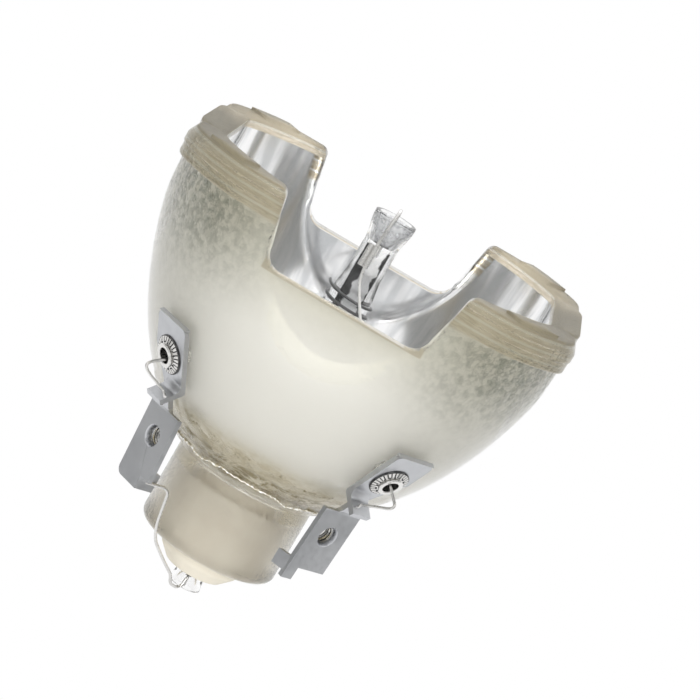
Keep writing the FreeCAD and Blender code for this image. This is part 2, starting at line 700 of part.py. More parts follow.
def foil_box(sign, gap=0.0):
    """The foil lies behind the axis, against the electrode and the lead that are welded to its face."""
    near_end = electrode_root(sign) - sign * FOIL_OVERLAP
    far_end = FOIL_FRONT_Z if sign > 0 else FOIL_REAR_Z
    half = FOIL_WIDTH / 2 + gap
    low = min(near_end, far_end) - gap
    high = max(near_end, far_end) + gap
    face_y = ELECTRODE_RADIUS
    return box_between(-half, half, face_y - gap, face_y + FOIL_THICKNESS + gap, low, high)


def stem_funnel(end_z, lip_radius, floor_radius, depth, sign):
    """The open end of a stem, ground out to a funnel."""
    mouth = lip_radius - LIP_WALL
    beyond = mouth + (mouth - floor_radius) * OVERRUN / depth
    floor_z = end_z - sign * depth
    beyond_z = end_z + sign * OVERRUN
    return turned([(0, floor_z), (floor_radius, floor_z), (beyond, beyond_z), (0, beyond_z)])


def rod_hole(radius, y, z0, z1):
    return Part.makeCylinder(radius, abs(z1 - z0), V(0, y, min(z0, z1)))


def bulb_meets(radius):
    return BULB_HALF_LENGTH * math.sqrt(1 - (radius / BULB_RADIUS) ** 2)


def burner_outside():
    flare_z = FRONT_END_Z - FRONT_FLARE_LENGTH
    waist_z = flare_z - FRONT_WAIST_LENGTH
    cone_z = waist_z - STEM_CONE_LENGTH
    rear_flare_z = REAR_END_Z + REAR_FLARE_LENGTH
    in_bulb_z = ARC_Z + bulb_meets(FRONT_STEM_RADIUS) - OVERRUN
    front = turned([(0, FRONT_END_Z), (FRONT_LIP_RADIUS, FRONT_END_Z),
                    (FRONT_LIP_RADIUS - FRONT_LIP_TAPER, FRONT_END_Z - FRONT_LIP_LENGTH),
                    (FRONT_WAIST_RADIUS, flare_z), (FRONT_WAIST_RADIUS, waist_z),
                    (FRONT_STEM_RADIUS, cone_z), (FRONT_STEM_RADIUS, in_bulb_z), (0, ARC_Z)],
                   [0, LIP_EDGE_ROUND, FLARE_ROUND, WAIST_ROUND, WAIST_ROUND, WAIST_ROUND, 0, 0])
    in_bulb_z = ARC_Z - bulb_meets(REAR_STEM_RADIUS) + OVERRUN
    rear = turned([(0, REAR_END_Z), (REAR_LIP_RADIUS, REAR_END_Z), (REAR_STEM_RADIUS, rear_flare_z),
                   (REAR_STEM_RADIUS, in_bulb_z), (0, ARC_Z)],
                  [0, LIP_EDGE_ROUND, WAIST_ROUND, 0, 0])
    low_z = ARC_Z - BULB_HALF_LENGTH
    bulb = ellipsoid(BULB_RADIUS, BULB_HALF_LENGTH, ARC_Z, low_z, ARC_Z + BULB_HALF_LENGTH)
    return bulb.fuse([front, rear])


def burner_envelope():
    """Fused quartz: an arc chamber, and stems that are shrunk on to the rods and foils."""
    low_z = ARC_Z - CHAMBER_HALF_LENGTH
    hollows = [ellipsoid(CHAMBER_RADIUS, CHAMBER_HALF_LENGTH, ARC_Z, low_z, ARC_Z + CHAMBER_HALF_LENGTH)]
    hollows.append(stem_funnel(FRONT_END_Z, FRONT_LIP_RADIUS, FRONT_FUNNEL_FLOOR, FRONT_FUNNEL_DEPTH, 1))
    hollows.append(stem_funnel(REAR_END_Z, REAR_LIP_RADIUS, REAR_FUNNEL_FLOOR, REAR_FUNNEL_DEPTH, -1))
    ends = ((1, FOIL_FRONT_Z - FOIL_OVERLAP, FRONT_END_Z - FRONT_FUNNEL_DEPTH),
            (-1, FOIL_REAR_Z + FOIL_OVERLAP, REAR_END_Z + REAR_FUNNEL_DEPTH))
    for sign, lead_end, floor_z in ends:
        root = electrode_root(sign) + sign * SEAL_GAP
        hollows.append(rod_hole(ELECTRODE_RADIUS + SEAL_GAP, 0, ARC_Z, root))
        start = lead_end - sign * SEAL_GAP
        hollows.append(rod_hole(LEAD_RADIUS + SEAL_GAP, LEAD_Y, start, floor_z + sign * OVERRUN))
        hollows.append(foil_box(sign, SEAL_GAP))
    return burner_outside().cut(hollows)


def electrode(sign):
    return rod_hole(ELECTRODE_RADIUS, 0, electrode_tip(sign), electrode_root(sign))


def electrode_coil(sign):
    """The tungsten winding on an electrode, its turns fused side by side."""
    ring_radius = ELECTRODE_RADIUS + COIL_WIRE_RADIUS
    pitch = 2 * COIL_WIRE_RADIUS * COIL_TIGHTNESS
    start = electrode_tip(sign) + sign * (COIL_SETBACK + COIL_WIRE_RADIUS)
    turns = []
    for i in range(COIL_TURNS):
        turns.append(Part.makeTorus(ring_radius, COIL_WIRE_RADIUS, V(0, 0, start + sign * i * pitch)))
    end = start + sign * COIL_TURNS * pitch
    core = rod_hole(ELECTRODE_RADIUS, 0, start - sign * OVERRUN, end + sign * OVERRUN)
    return turns[0].fuse(turns[1:]).cut(core)


def cement_plug():
    """Fills the bore round the rear stem, rises a little into the throat and domes out behind the neck."""
    top_z = CEMENT_BORE_Z + CEMENT_THROAT_FILL
    throat = THROAT_RADIUS - SEAL_GAP
    bore = CEMENT_BORE_RADIUS - SEAL_GAP
    dome = CEMENT_BORE_RADIUS - DOME_INSET
    dome_z = NECK_END_Z - DOME_HEIGHT
    plug = turned([(0, top_z), (throat, top_z), (throat, CEMENT_BORE_Z), (bore, CEMENT_BORE_Z),
                   (bore, NECK_END_Z), (dome, NECK_END_Z), (dome, NECK_END_Z - DOME_STRAIGHT),
                   (dome - DOME_SHOULDER, NECK_END_Z - DOME_SIDE), (REAR_STEM_RADIUS, dome_z), (0, dome_z)],
                  [0, 0, 0, 0, 0, 0, DOME_SHOULDER_ROUND, DOME_FOOT_ROUND, 0, 0])
    return plug.cut(burner_outside())


# Leads and wires. Each follows points chosen from where it starts, what it clears and where it is welded.

SLEEVE_Y = -(FRONT_WAIST_RADIUS + SLEEVE_CLEARANCE + SLEEVE_LOBE_RADIUS)
SLEEVE_FOOT_Z = SLEEVE_TOP_Z - SLEEVE_LENGTH


def front_lead():
    """Up through the front stem's funnel, over its lip and down into the sleeve."""
    outside_lip = -(FRONT_LIP_RADIUS + 2 * LEAD_RADIUS)
    crest_z = FRONT_END_Z + LEAD_CREST
    points = [V(0, LEAD_Y, FOIL_FRONT_Z - FOIL_OVERLAP), V(0, LEAD_Y, FRONT_END_Z - 0.6),
              V(0.1, outside_lip + 3.8, crest_z), V(0, outside_lip + 1.3, crest_z),
              V(-0.3, outside_lip - 0.1, FRONT_END_Z - 1.2), V(SLEEVE_X, SLEEVE_Y, SLEEVE_TOP_Z + 1.6),
              V(SLEEVE_X, SLEEVE_Y, SLEEVE_TOP_Z - SLEEVE_INSERTION)]
    return route_wire(points, LEAD_RADIUS)


def rear_lead():
    return rod_hole(LEAD_RADIUS, LEAD_Y, REAR_END_Z, FOIL_REAR_Z + FOIL_OVERLAP)


def crimp_sleeve():
    """A sleeve pressed into two lobes. The right one holds the lead at its top, the wire at its foot."""
    foot = V(SLEEVE_X, SLEEVE_Y, SLEEVE_FOOT_Z)
    other = foot - V(SLEEVE_LOBE_SPACING, 0, 0)
    lobes = [Part.makeCylinder(SLEEVE_LOBE_RADIUS, SLEEVE_LENGTH, at) for at in (foot, other)]
    half = SLEEVE_LOBE_RADIUS / 2
    web = box_between(other.x, foot.x, SLEEVE_Y - half, SLEEVE_Y + half, SLEEVE_FOOT_Z, SLEEVE_TOP_Z)
    grip_z = SLEEVE_TOP_Z - SLEEVE_INSERTION
    bores = [Part.makeCylinder(LEAD_RADIUS, SLEEVE_INSERTION, V(SLEEVE_X, SLEEVE_Y, grip_z)),
             Part.makeCylinder(FEED_WIRE_RADIUS, SLEEVE_INSERTION, foot)]
    return lobes[0].fuse([lobes[1], web]).cut(bores)


# The loops outside the bowl, as distances above the plate, across it and down it from the eyelet,
# and then the weld, as distances along the shelf, across it and above the wire's seat on it
LEFT_LOOP = [(0.7, 0.8, 0.4), (4.5, 1.0, -0.15), (5.8, 1.3, -0.15), (6.1, 1.7, 0.55), (5.3, 2.3, 2.2),
             (4.4, 2.6, 3.35), (3.7, 2.75, 4.5)]
LEFT_WELD = [(2.7, 3.2, 0.25), (3.1, 4.2, 0), (3.35, 4.75, 0)]
RIGHT_LOOP = [(1.0, 0.7, -0.6), (4.7, 1.2, -0.85), (6.2, 1.6, -1.05), (6.6, 1.95, -0.45), (6.3, 2.2, 0.3),
              (4.65, 2.7, 2.65), (3.9, 2.9, 3.85)]
RIGHT_WELD = [(2.5, 2.9, 0.35), (2.9, 3.5, 0), (3.3, 4.1, 0)]


def eyelet_route(side, loop, weld, wire_radius):
    """The part of a wire that comes out of an eyelet and bends down to its weld on the shelf."""
    angle = math.radians(SHELF_ANGLE)
    along = V(0, math.cos(angle), -math.sin(angle))
    off = V(0, math.sin(angle), math.cos(angle))
    points = [on_plate(-GLASS_AT_EYELET - 4.0)]
    for height, across, down in loop:
        points.append(on_plate(PLATE_FACE + height, across, down))
    for run, across, lift in weld:
        points.append(FOLD + along * run + off * (wire_radius + lift) + V(across, 0, 0))
    return [place_point(point, side) for point in points]


def feed_wire():
    sleeve_foot = V(SLEEVE_X, SLEEVE_Y, SLEEVE_FOOT_Z)
    points = [sleeve_foot + V(0, 0, SLEEVE_INSERTION), sleeve_foot - V(0, 0, 0.6)]
    runs = [(0.35, 0.4, 2.2), (0.95, 0.9, 3.7), (3.35, 3.0, 7.3), (7.95, 6.4, 13.6), (14.5, 11.4, 21.8)]
    for across, out, down in runs:
        points.append(sleeve_foot + V(across, -out, -down))
    route = eyelet_route(1, RIGHT_LOOP, RIGHT_WELD, FEED_WIRE_RADIUS)
    return route_wire(points + route, FEED_WIRE_RADIUS)


def ignition_wire():
    """Starts beside the stem, winds round it and leads to the left eyelet."""
    ring = FRONT_STEM_RADIUS + WRAP_GAP + IGNITION_WIRE_RADIUS
    step = 360.0 / WRAP_STEPS
    corner_radius = ring / math.cos(math.radians(step / 2))
    points = [V(-ring - 0.6, 1.3, IGNITION_TOP_Z + 0.2)]
    count = IGNITION_TURNS * WRAP_STEPS
    for i in range(count):
        angle = math.radians(WRAP_START + step * i)
        z = IGNITION_TOP_Z - IGNITION_PITCH * i / WRAP_STEPS
        points.append(V(corner_radius * math.cos(angle), corner_radius * math.sin(angle), z))
    points += [V(-ring - 4.2, -8.6, IGNITION_TOP_Z - 8.4), V(-ring - 9.6, -15.4, IGNITION_TOP_Z - 15.8)]
    route = eyelet_route(-1, LEFT_LOOP, LEFT_WELD, IGNITION_WIRE_RADIUS)
    return route_wire(points + route, IGNITION_WIRE_RADIUS)


def rear_feed_wire():
    """From the left terminal's tab down beside the neck, then under the rear stem's lip to the rear lead."""
    tab_z = (LEFT_TAB_TOP_Z + BLADE_LONG_END_Z) / 2
    across = BLADE_STEP + REAR_WIRE_RADIUS
    face_y = blade_point(BLADE_LONG_END_Z)[0]
    weld_y = LEAD_Y - LEAD_RADIUS - REAR_WIRE_RADIUS
    points = [place_point(V(across, face_y - SHEET - 0.4, tab_z), -1),
              place_point(V(across, face_y - LEFT_TAB_LENGTH + 0.6, tab_z), -1)]
    runs = [(NECK_RADIUS + 5.0, tab_z + 0.25), (NECK_RADIUS + 3.0, NECK_END_Z + 3.0),
            (NECK_RADIUS + 1.0, NECK_END_Z - 0.5), (CEMENT_BORE_RADIUS + 1.2, NECK_END_Z - 4.5),
            (REAR_LIP_RADIUS + 1.9, REAR_END_Z + 1.5), (REAR_LIP_RADIUS + 0.8, REAR_END_Z - 0.4),
            (REAR_LIP_RADIUS - 1.9, REAR_END_Z - 1.1)]
    bearing = math.radians(REAR_WIRE_BEARING)
    for out, z in runs:
        points.append(V(-out * math.sin(bearing), -out * math.cos(bearing), z))
    points.append(V(-0.2, weld_y, REAR_END_Z - 0.1))
    points.append(V(-0.1, weld_y, REAR_END_Z + 1.6))
    return route_wire(points, REAR_WIRE_RADIUS)


def build():
    nodes = {
        "reflector": reflector(),
        "cement_plug": cement_plug(),
        "burner_envelope": burner_envelope(),
        "front_electrode": electrode(1),
        "rear_electrode": electrode(-1),
        "front_electrode_coil": electrode_coil(1),
        "rear_electrode_coil": electrode_coil(-1),
        "front_foil": foil_box(1),
        "rear_foil": foil_box(-1),
        "front_lead": front_lead(),
        "rear_lead": rear_lead(),
        "crimp_sleeve": crimp_sleeve(),
        "feed_wire": feed_wire(),
        "ignition_wire": ignition_wire(),
        "rear_feed_wire": rear_feed_wire(),
        "left_terminal": to_place(left_terminal(), -1),
        "right_terminal": to_place(right_terminal(), 1),
    }
    for name, side in (("left", -1), ("right", 1)):
        nodes[name + "_eyelet"] = to_place(eyelet(), side)
        nodes[name + "_lock_washer"] = to_place(lock_washer(), side)
    return nodes


os.makedirs("parts", exist_ok=True)
for name, shape in build().items():
    shape.exportStep("parts/" + name + ".step")
    print(name, shape.isValid(), len(shape.Solids), round(shape.Volume, 2), len(shape.Faces))
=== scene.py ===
import math

import bmesh
import bpy
from mathutils import Matrix, Vector, noise
from mathutils.bvhtree import BVHTree


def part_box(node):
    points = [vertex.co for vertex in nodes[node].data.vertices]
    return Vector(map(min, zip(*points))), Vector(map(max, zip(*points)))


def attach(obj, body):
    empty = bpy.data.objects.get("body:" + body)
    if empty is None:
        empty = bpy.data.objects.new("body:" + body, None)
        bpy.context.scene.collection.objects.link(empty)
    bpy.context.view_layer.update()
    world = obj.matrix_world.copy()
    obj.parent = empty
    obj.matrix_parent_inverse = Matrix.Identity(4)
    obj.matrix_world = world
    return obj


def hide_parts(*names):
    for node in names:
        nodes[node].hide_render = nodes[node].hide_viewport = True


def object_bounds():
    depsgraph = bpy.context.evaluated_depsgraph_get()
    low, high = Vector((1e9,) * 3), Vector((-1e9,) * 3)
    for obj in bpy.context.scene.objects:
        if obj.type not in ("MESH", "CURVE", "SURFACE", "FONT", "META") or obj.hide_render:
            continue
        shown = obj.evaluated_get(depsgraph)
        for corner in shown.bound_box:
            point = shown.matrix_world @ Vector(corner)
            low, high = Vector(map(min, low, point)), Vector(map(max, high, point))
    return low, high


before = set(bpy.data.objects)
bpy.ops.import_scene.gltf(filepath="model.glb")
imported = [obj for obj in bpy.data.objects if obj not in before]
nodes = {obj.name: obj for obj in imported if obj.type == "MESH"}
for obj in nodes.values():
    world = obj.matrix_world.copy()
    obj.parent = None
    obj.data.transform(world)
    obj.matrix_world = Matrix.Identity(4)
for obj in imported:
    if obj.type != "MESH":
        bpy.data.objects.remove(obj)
packed_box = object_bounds()


# Standpoint of the photograph
# The lamp is seen from a little above its rim, from 600 mm, with the picture turned so that the lamp
# leans 30.3 degrees to the right. The view is worked out from where the rim and the neck lie in it.
PICTURE_PIXELS = 700
FOCAL_PIXELS = 3000
SENSOR_MM = 36.0
VIEW_DISTANCE = 0.600
VIEW_TARGET = Vector((0.0052, 0.0, -0.0283))
VIEW_ELEVATION = math.radians(10.8)
VIEW_TURN = math.radians(0.2)
VIEW_LEAN = math.radians(30.3)

ahead = Vector((math.sin(VIEW_TURN) * math.cos(VIEW_ELEVATION),
                math.cos(VIEW_TURN) * math.cos(VIEW_ELEVATION),
                -math.sin(VIEW_ELEVATION)))
level = Vector((math.cos(VIEW_TURN), -math.sin(VIEW_TURN), 0))
upward = level.cross(ahead)
picture_right = math.cos(VIEW_LEAN) * level + math.sin(VIEW_LEAN) * upward
picture_up = math.cos(VIEW_LEAN) * upward - math.sin(VIEW_LEAN) * level

camera_data = bpy.data.cameras.new("camera")
camera_data.sensor_width = SENSOR_MM
camera_data.lens = SENSOR_MM * FOCAL_PIXELS / PICTURE_PIXELS
camera_data.clip_start = 0.01
camera_data.clip_end = 20
camera = bpy.data.objects.new("camera", camera_data)
camera.matrix_world = Matrix((
    (picture_right.x, picture_up.x, -ahead.x, 0),
    (picture_right.y, picture_up.y, -ahead.y, 0),
    (picture_right.z, picture_up.z, -ahead.z, 0),
    (0, 0, 0, 1)))
camera.location = VIEW_TARGET - ahead * VIEW_DISTANCE
bpy.context.scene.collection.objects.link(camera)
bpy.context.scene.camera = camera
bpy.context.scene.view_settings.view_transform = "Standard"


# Studio
# A pale table and room, white to the camera, in gloss and through glass, and three soft lamps. The
# large one shows only through glass and on matt parts, the small ones only in gloss. Grey cards at
# the left and right, out of the camera's sight, give glass and metal their dark edges.
TABLE_DROP = 0.35
TABLE_HALF = 6.0
TABLE_GREY = (0.82, 0.82, 0.82, 1)
ROOM_LEVEL = 0.62
WHITE = (1, 1, 1, 1)


def seen_directly(tree):
    """One where the camera, a reflection or a view through glass meets the surface, else nought."""
    path = tree.nodes.new("ShaderNodeLightPath")
    total = path.outputs["Is Camera Ray"]
    for ray in ("Is Glossy Ray", "Is Transmission Ray"):
        either = tree.nodes.new("ShaderNodeMath")
        either.operation = "MAXIMUM"
        tree.links.new(total, either.inputs[0])
        tree.links.new(path.outputs[ray], either.inputs[1])
        total = either.outputs[0]
    return total


world = bpy.data.worlds.new("pale room")
bpy.context.scene.world = world
world.use_nodes = True
room = world.node_tree
room.nodes.clear()
room_out = room.nodes.new("ShaderNodeOutputWorld")
room_light = room.nodes.new("ShaderNodeBackground")
room_light.inputs["Color"].default_value = WHITE
room_level = room.nodes.new("ShaderNodeMapRange")
room_level.inputs["To Min"].default_value = ROOM_LEVEL
room_level.inputs["To Max"].default_value = 1.0
room.links.new(seen_directly(room), room_level.inputs["Value"])
room.links.new(room_level.outputs["Result"], room_light.inputs["Strength"])
room.links.new(room_light.outputs[0], room_out.inputs["Surface"])


def stage_sheet(name, corners, colour, hidden=False):
    """A flat sheet of the studio, outside the object. Hidden ones show only in gloss and through glass."""
    mesh = bpy.data.meshes.new(name)
    mesh.from_pydata(corners, [], [(0, 1, 2, 3)])
    sheet = bpy.data.objects.new(name, mesh)
    bpy.context.scene.collection.objects.link(sheet)
    look = bpy.data.materials.new(name)
    look.use_nodes = True
    tree = look.node_tree
    tree.nodes.clear()
    out = tree.nodes.new("ShaderNodeOutputMaterial")
    cloth = tree.nodes.new("ShaderNodeBsdfDiffuse")
    cloth.inputs["Color"].default_value = colour
    glow = tree.nodes.new("ShaderNodeEmission")
    glow.inputs["Color"].default_value = colour if hidden else WHITE
    mix = tree.nodes.new("ShaderNodeMixShader")
    tree.links.new(seen_directly(tree), mix.inputs[0])
    tree.links.new(cloth.outputs[0], mix.inputs[1])
    tree.links.new(glow.outputs[0], mix.inputs[2])
    tree.links.new(mix.outputs[0], out.inputs["Surface"])
    mesh.materials.append(look)
    if hidden:
        sheet.visible_camera = False
        sheet.visible_diffuse = False
        sheet.visible_shadow = False


table_z = packed_box[0].z - TABLE_DROP
stage_sheet("table", [(-TABLE_HALF, -TABLE_HALF, table_z), (TABLE_HALF, -TABLE_HALF, table_z),
                      (TABLE_HALF, TABLE_HALF, table_z), (-TABLE_HALF, TABLE_HALF, table_z)],
            TABLE_GREY)

CARD_OUT = 0.45
CARD_NEAR = -0.75
CARD_FAR = 0.05
CARD_LOW = -0.30
CARD_HIGH = 0.30
CARD_GREY = (0.30, 0.30, 0.29, 1)
for out, card_name in ((-CARD_OUT, "left_card"), (CARD_OUT, "right_card")):
    stage_sheet(card_name, [(out, CARD_NEAR, CARD_LOW), (out, CARD_FAR, CARD_LOW),
                            (out, CARD_FAR, CARD_HIGH), (out, CARD_NEAR, CARD_HIGH)],
                CARD_GREY, hidden=True)

lamp_centre = (packed_box[0] + packed_box[1]) / 2
SOFT_LAMPS = (
    ("front_soft_lamp", (-0.15, -1.0, 0.20), 2.8, 36.0),
    ("right_soft_lamp", (0.95, -0.35, 0.25), 0.6, 3.0),
    ("top_soft_lamp", (0.05, 0.35, 0.95), 0.6, 4.0),
)
for lamp_name, offset, size, watts in SOFT_LAMPS:
    light = bpy.data.lights.new(lamp_name, "AREA")
    light.shape = "DISK"
    light.size = size
    light.energy = watts
    soft_lamp = bpy.data.objects.new(lamp_name, light)
    soft_lamp.location = lamp_centre + Vector(offset)
    soft_lamp.visible_transmission = lamp_name == "front_soft_lamp"
    soft_lamp.visible_glossy = lamp_name != "front_soft_lamp"
    soft_lamp.rotation_euler = (-Vector(offset)).to_track_quat("-Z", "Y").to_euler()
    bpy.context.scene.collection.objects.link(soft_lamp)


# Reflector
# One piece of pressed borosilicate glass: a stepped rim, two cooling notches and a neck. The mould
# has left its outside hammered below the rim, and torn and chipped where the bowl meets the neck.
GLASS_IOR = 1.47
BOWL_RADIUS = 0.0448
BOWL_HALF_LENGTH = 0.0690
BOWL_CENTRE = 0.0039
BOWL_SIDE = 0.0424
BOWL_FRONT = 0.0391
RELIEF_TOP = -0.0071
RELIEF_FOOT = -0.0606
RELIEF_ROUND = 500
RELIEF_DOWN = 130
RELIEF_CLEAR = 0.08
RELIEF_SKIN = 0.00002
RELIEF_LIFT = 0.0004
RELIEF_OVER = 0.03
RELIEF_UNDER = 0.05
FADE_START = 0.0002
FADE_BELOW_TOP = 0.0016
FADE_ABOVE_FOOT = 0.0012
DIMPLE_DEPTH = 0.00011
DIMPLE_CELL = 0.00115
DIMPLE_SHARE = 0.62
DIMPLE_FRONT = 0.40
DIMPLE_LEAST = 0.10
DIMPLE_BAND = (-0.042, -0.014)
TORN_DEPTH = 0.00024
TORN_CELL = 0.0022
TORN_LAYERS = 4
TORN_FINER = 2.1
TORN_MOST = 2.5
TORN_BAND = (-0.043, -0.050)
SURFACE_MISS = 0.0012
WELD_REACH = 1e-7
LEAST_COSINE = 1e-6


def eased(value, low, high):
    """Runs smoothly from nought at low to one at high."""
    share = min(max((value - low) / (high - low), 0.0), 1.0)
    return share * share * (3 - 2 * share)


def flat_at(distance, cosine):
    """How far from the axis a flat is met on a line that leaves the flat's own direction by an angle."""
    return distance / max(abs(cosine), LEAST_COSINE)


def bowl_radius(turn, z):
    """Where the outside of the bowl should lie, for places where a hole or a notch hides it."""
    bowl = BOWL_RADIUS * math.sqrt(max(1 - ((z - BOWL_CENTRE) / BOWL_HALF_LENGTH) ** 2, 0.01))
    return min(bowl, flat_at(BOWL_SIDE, math.cos(turn)), flat_at(BOWL_FRONT, math.sin(turn)))


def relief_depth(place, turn, z):
    """How deep the mould's marks go: round dimples below the rim, and torn chips above the neck."""
    cell = noise.voronoi(place / DIMPLE_CELL)[0][0]
    dimple = max(0.0, 1 - (cell / DIMPLE_SHARE) ** 2)
    band = eased(z, *DIMPLE_BAND) * (DIMPLE_FRONT + (1 - DIMPLE_FRONT) * math.cos(turn) ** 2)
    torn = noise.multi_fractal(place / TORN_CELL, 1.0, TORN_FINER, TORN_LAYERS)
    ragged = min(max(torn, 0.0), TORN_MOST)
    return (RELIEF_SKIN + DIMPLE_DEPTH * dimple * max(band, DIMPLE_LEAST)
            + TORN_DEPTH * ragged * eased(z, *TORN_BAND))


def closed_rows(rows, name):
    """A closed mesh from rows of points round the axis, with a flat cap at either end."""
    shell = bmesh.new()
    rings = [[shell.verts.new(point) for point in row] for row in rows]
    for upper, lower in zip(rings, rings[1:]):
        for i in range(len(upper)):
            following = (i + 1) % len(upper)
            shell.faces.new((upper[i], lower[i], lower[following], upper[following]))
    shell.faces.new(rings[0])
    shell.faces.new(rings[-1][::-1])
    bmesh.ops.triangulate(shell, faces=shell.faces)
    bmesh.ops.recalc_face_normals(shell, faces=shell.faces)
    mesh = bpy.data.meshes.new(name)
    shell.to_mesh(mesh)
    shell.free()
    return mesh


def combined(first, second, operation, name):
    """The mesh left by a cut between two closed meshes."""
    blank = bpy.data.objects.new("blank", first)
    tool = bpy.data.objects.new("tool", second)
    for thing in (blank, tool):
        bpy.context.scene.collection.objects.link(thing)
    cut = blank.modifiers.new("cut", "BOOLEAN")
    cut.object = tool
    cut.operation = operation
    cut.solver = "MANIFOLD"
    mesh = bpy.data.meshes.new_from_object(blank.evaluated_get(bpy.context.evaluated_depsgraph_get()))
    mesh.name = name
    for thing in (blank, tool):
        bpy.data.objects.remove(thing)
    return mesh


def new_piece(name, mesh, looks, sharp=None):
    """Puts a finished mesh into the scene as a piece of the lamp."""
    piece = bpy.data.objects.new(name, mesh)
    bpy.context.scene.collection.objects.link(piece)
    mesh.name = name
    chosen = [min(face.material_index, len(looks) - 1) for face in mesh.polygons]
    mesh.materials.clear()
    for look in looks:
        mesh.materials.append(look)
    for face, index in zip(mesh.polygons, chosen):
        face.material_index = index
        face.use_smooth = True
    if sharp:
        mesh.set_sharp_from_angle(angle=math.radians(sharp))
    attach(piece, "root")
    return piece


pressed = bmesh.new()
pressed.from_mesh(nodes["reflector"].data)
bmesh.ops.remove_doubles(pressed, verts=pressed.verts, dist=WELD_REACH)
pressed_mesh = bpy.data.meshes.new("pressed")
pressed.to_mesh(pressed_mesh)
pressed_surface = BVHTree.FromBMesh(pressed)
pressed.free()

rounds = [math.tau * i / RELIEF_ROUND for i in range(RELIEF_ROUND)]
outward = [Vector((math.cos(turn), math.sin(turn), 0)) for turn in rounds]
relief_rows = []
for row in range(RELIEF_DOWN + 1):
    z = RELIEF_TOP + (RELIEF_FOOT - RELIEF_TOP) * row / RELIEF_DOWN
    level_at = Vector((0, 0, z))
    fade = (eased(z, RELIEF_TOP - FADE_START, RELIEF_TOP - FADE_BELOW_TOP)
            * eased(z, RELIEF_FOOT + FADE_START, RELIEF_FOOT + FADE_ABOVE_FOOT))
    ring = []
    for turn, out in zip(rounds, outward):
        radius = bowl_radius(turn, z)
        met = pressed_surface.ray_cast(out * RELIEF_CLEAR + level_at, -out)[0]
        if met is not None and abs(met.xy.length - radius) < SURFACE_MISS:
            radius = met.xy.length
        radius -= relief_depth(out * radius + level_at, turn, z) * fade - RELIEF_LIFT * (1 - fade)
        ring.append(out * radius + level_at)
    relief_rows.append(ring)
for z in (RELIEF_TOP, RELIEF_TOP + RELIEF_OVER):
    relief_rows.insert(0, [out * RELIEF_CLEAR + Vector((0, 0, z)) for out in outward])
for z in (RELIEF_FOOT, RELIEF_FOOT - RELIEF_UNDER):
    relief_rows.append([out * RELIEF_CLEAR + Vector((0, 0, z)) for out in outward])
relief_mesh = closed_rows(relief_rows, "relief")
reflector_mesh = combined(pressed_mesh, relief_mesh, "INTERSECT", "pressed_reflector")


def new_look(name, colour, roughness, metallic=0.0):
    """A material with its node tree and its shader."""
    look = bpy.data.materials.new(name)
    look.use_nodes = True
    shader = look.node_tree.nodes["Principled BSDF"]
    shader.inputs["Base Color"].default_value = colour
    shader.inputs["Roughness"].default_value = roughness
    shader.inputs["Metallic"].default_value = metallic
    return look, look.node_tree, shader


def add(tree, kind, links=None, **values):
    """A new node with its settings, socket values and incoming links."""
    node = tree.nodes.new(kind)
    for key, value in values.items():
        setattr(node, key, value)
    for socket, source in (links or {}).items():
        if isinstance(source, bpy.types.NodeSocket):
            tree.links.new(source, node.inputs[socket])
        else:
            node.inputs[socket].default_value = source
    return node


def object_place(tree):
    """Where a point of the surface lies in the frame of its piece."""
    return add(tree, "ShaderNodeTexCoord").outputs["Object"]


def roughen(tree, shader, height, depth, strength):
    """Raises a surface, in its material only, by a value that changes over it."""
    bump = add(tree, "ShaderNodeBump", {"Height": height, "Distance": depth, "Strength": strength})
    tree.links.new(bump.outputs["Normal"], shader.inputs["Normal"])


def ramp(tree, source, low, high, to_low=0.0, to_high=1.0):
    """Runs smoothly from one value to another while the source goes from low to high."""
    node = add(tree, "ShaderNodeMapRange", {"Value": source, "From Min": low, "From Max": high,
                                            "To Min": to_low, "To Max": to_high},
               interpolation_type="SMOOTHSTEP")
    return node.outputs["Result"]


def arithmetic(tree, operation, first, second):
    """The result of one sum on two values."""
    return add(tree, "ShaderNodeMath", {0: first, 1: second}, operation=operation).outputs[0]


def times(tree, first, second):
    """The product of two values."""
    return arithmetic(tree, "MULTIPLY", first, second)


def between(tree, source, start, full, waning, gone):
    """One from full to waning, running out smoothly to nought at start and at gone."""
    return times(tree, ramp(tree, source, start, full), ramp(tree, source, gone, waning))


def blended(tree, share, first, second):
    """A colour that runs from the first to the second as the share goes from nought to one."""
    return add(tree, "ShaderNodeMix", {0: share, 6: first, 7: second}, data_type="RGBA").outputs[2]


def mixed(tree, share, first, second):
    """A value that runs from the first to the second as the share goes from nought to one."""
    return add(tree, "ShaderNodeMix", {0: share, 2: first, 3: second}, data_type="FLOAT").outputs[0]


def layered(tree, tone, zone, layers):
    """A tone with others laid over it in turn, each at its strength where its zone lies."""
    for title, strength, colour in layers:
        share = zone[title] if strength == 1 else times(tree, zone[title], strength)
        tone = blended(tree, share, tone, colour)
    return tone


def two_toned(tree, shader, share, first, second):
    """Gives a look two tones, of which the second shows as the share goes from nought to one."""
    tree.links.new(blended(tree, share, first, second), shader.inputs["Base Color"])


def noise_value(tree, place, scale, detail=2.0, roughness=0.5, distortion=0.0):
    """A cloudy value about one half."""
    node = add(tree, "ShaderNodeTexNoise", {"Vector": place, "Scale": scale, "Detail": detail,
                                            "Roughness": roughness, "Distortion": distortion})
    return node.outputs[0]


def flattened(tree, place, times_lower):
    """The place with its height scaled up, which makes a cloudy pattern lie that much flatter."""
    return add(tree, "ShaderNodeMapping", {"Vector": place, "Scale": (1, 1, times_lower)}).outputs[0]


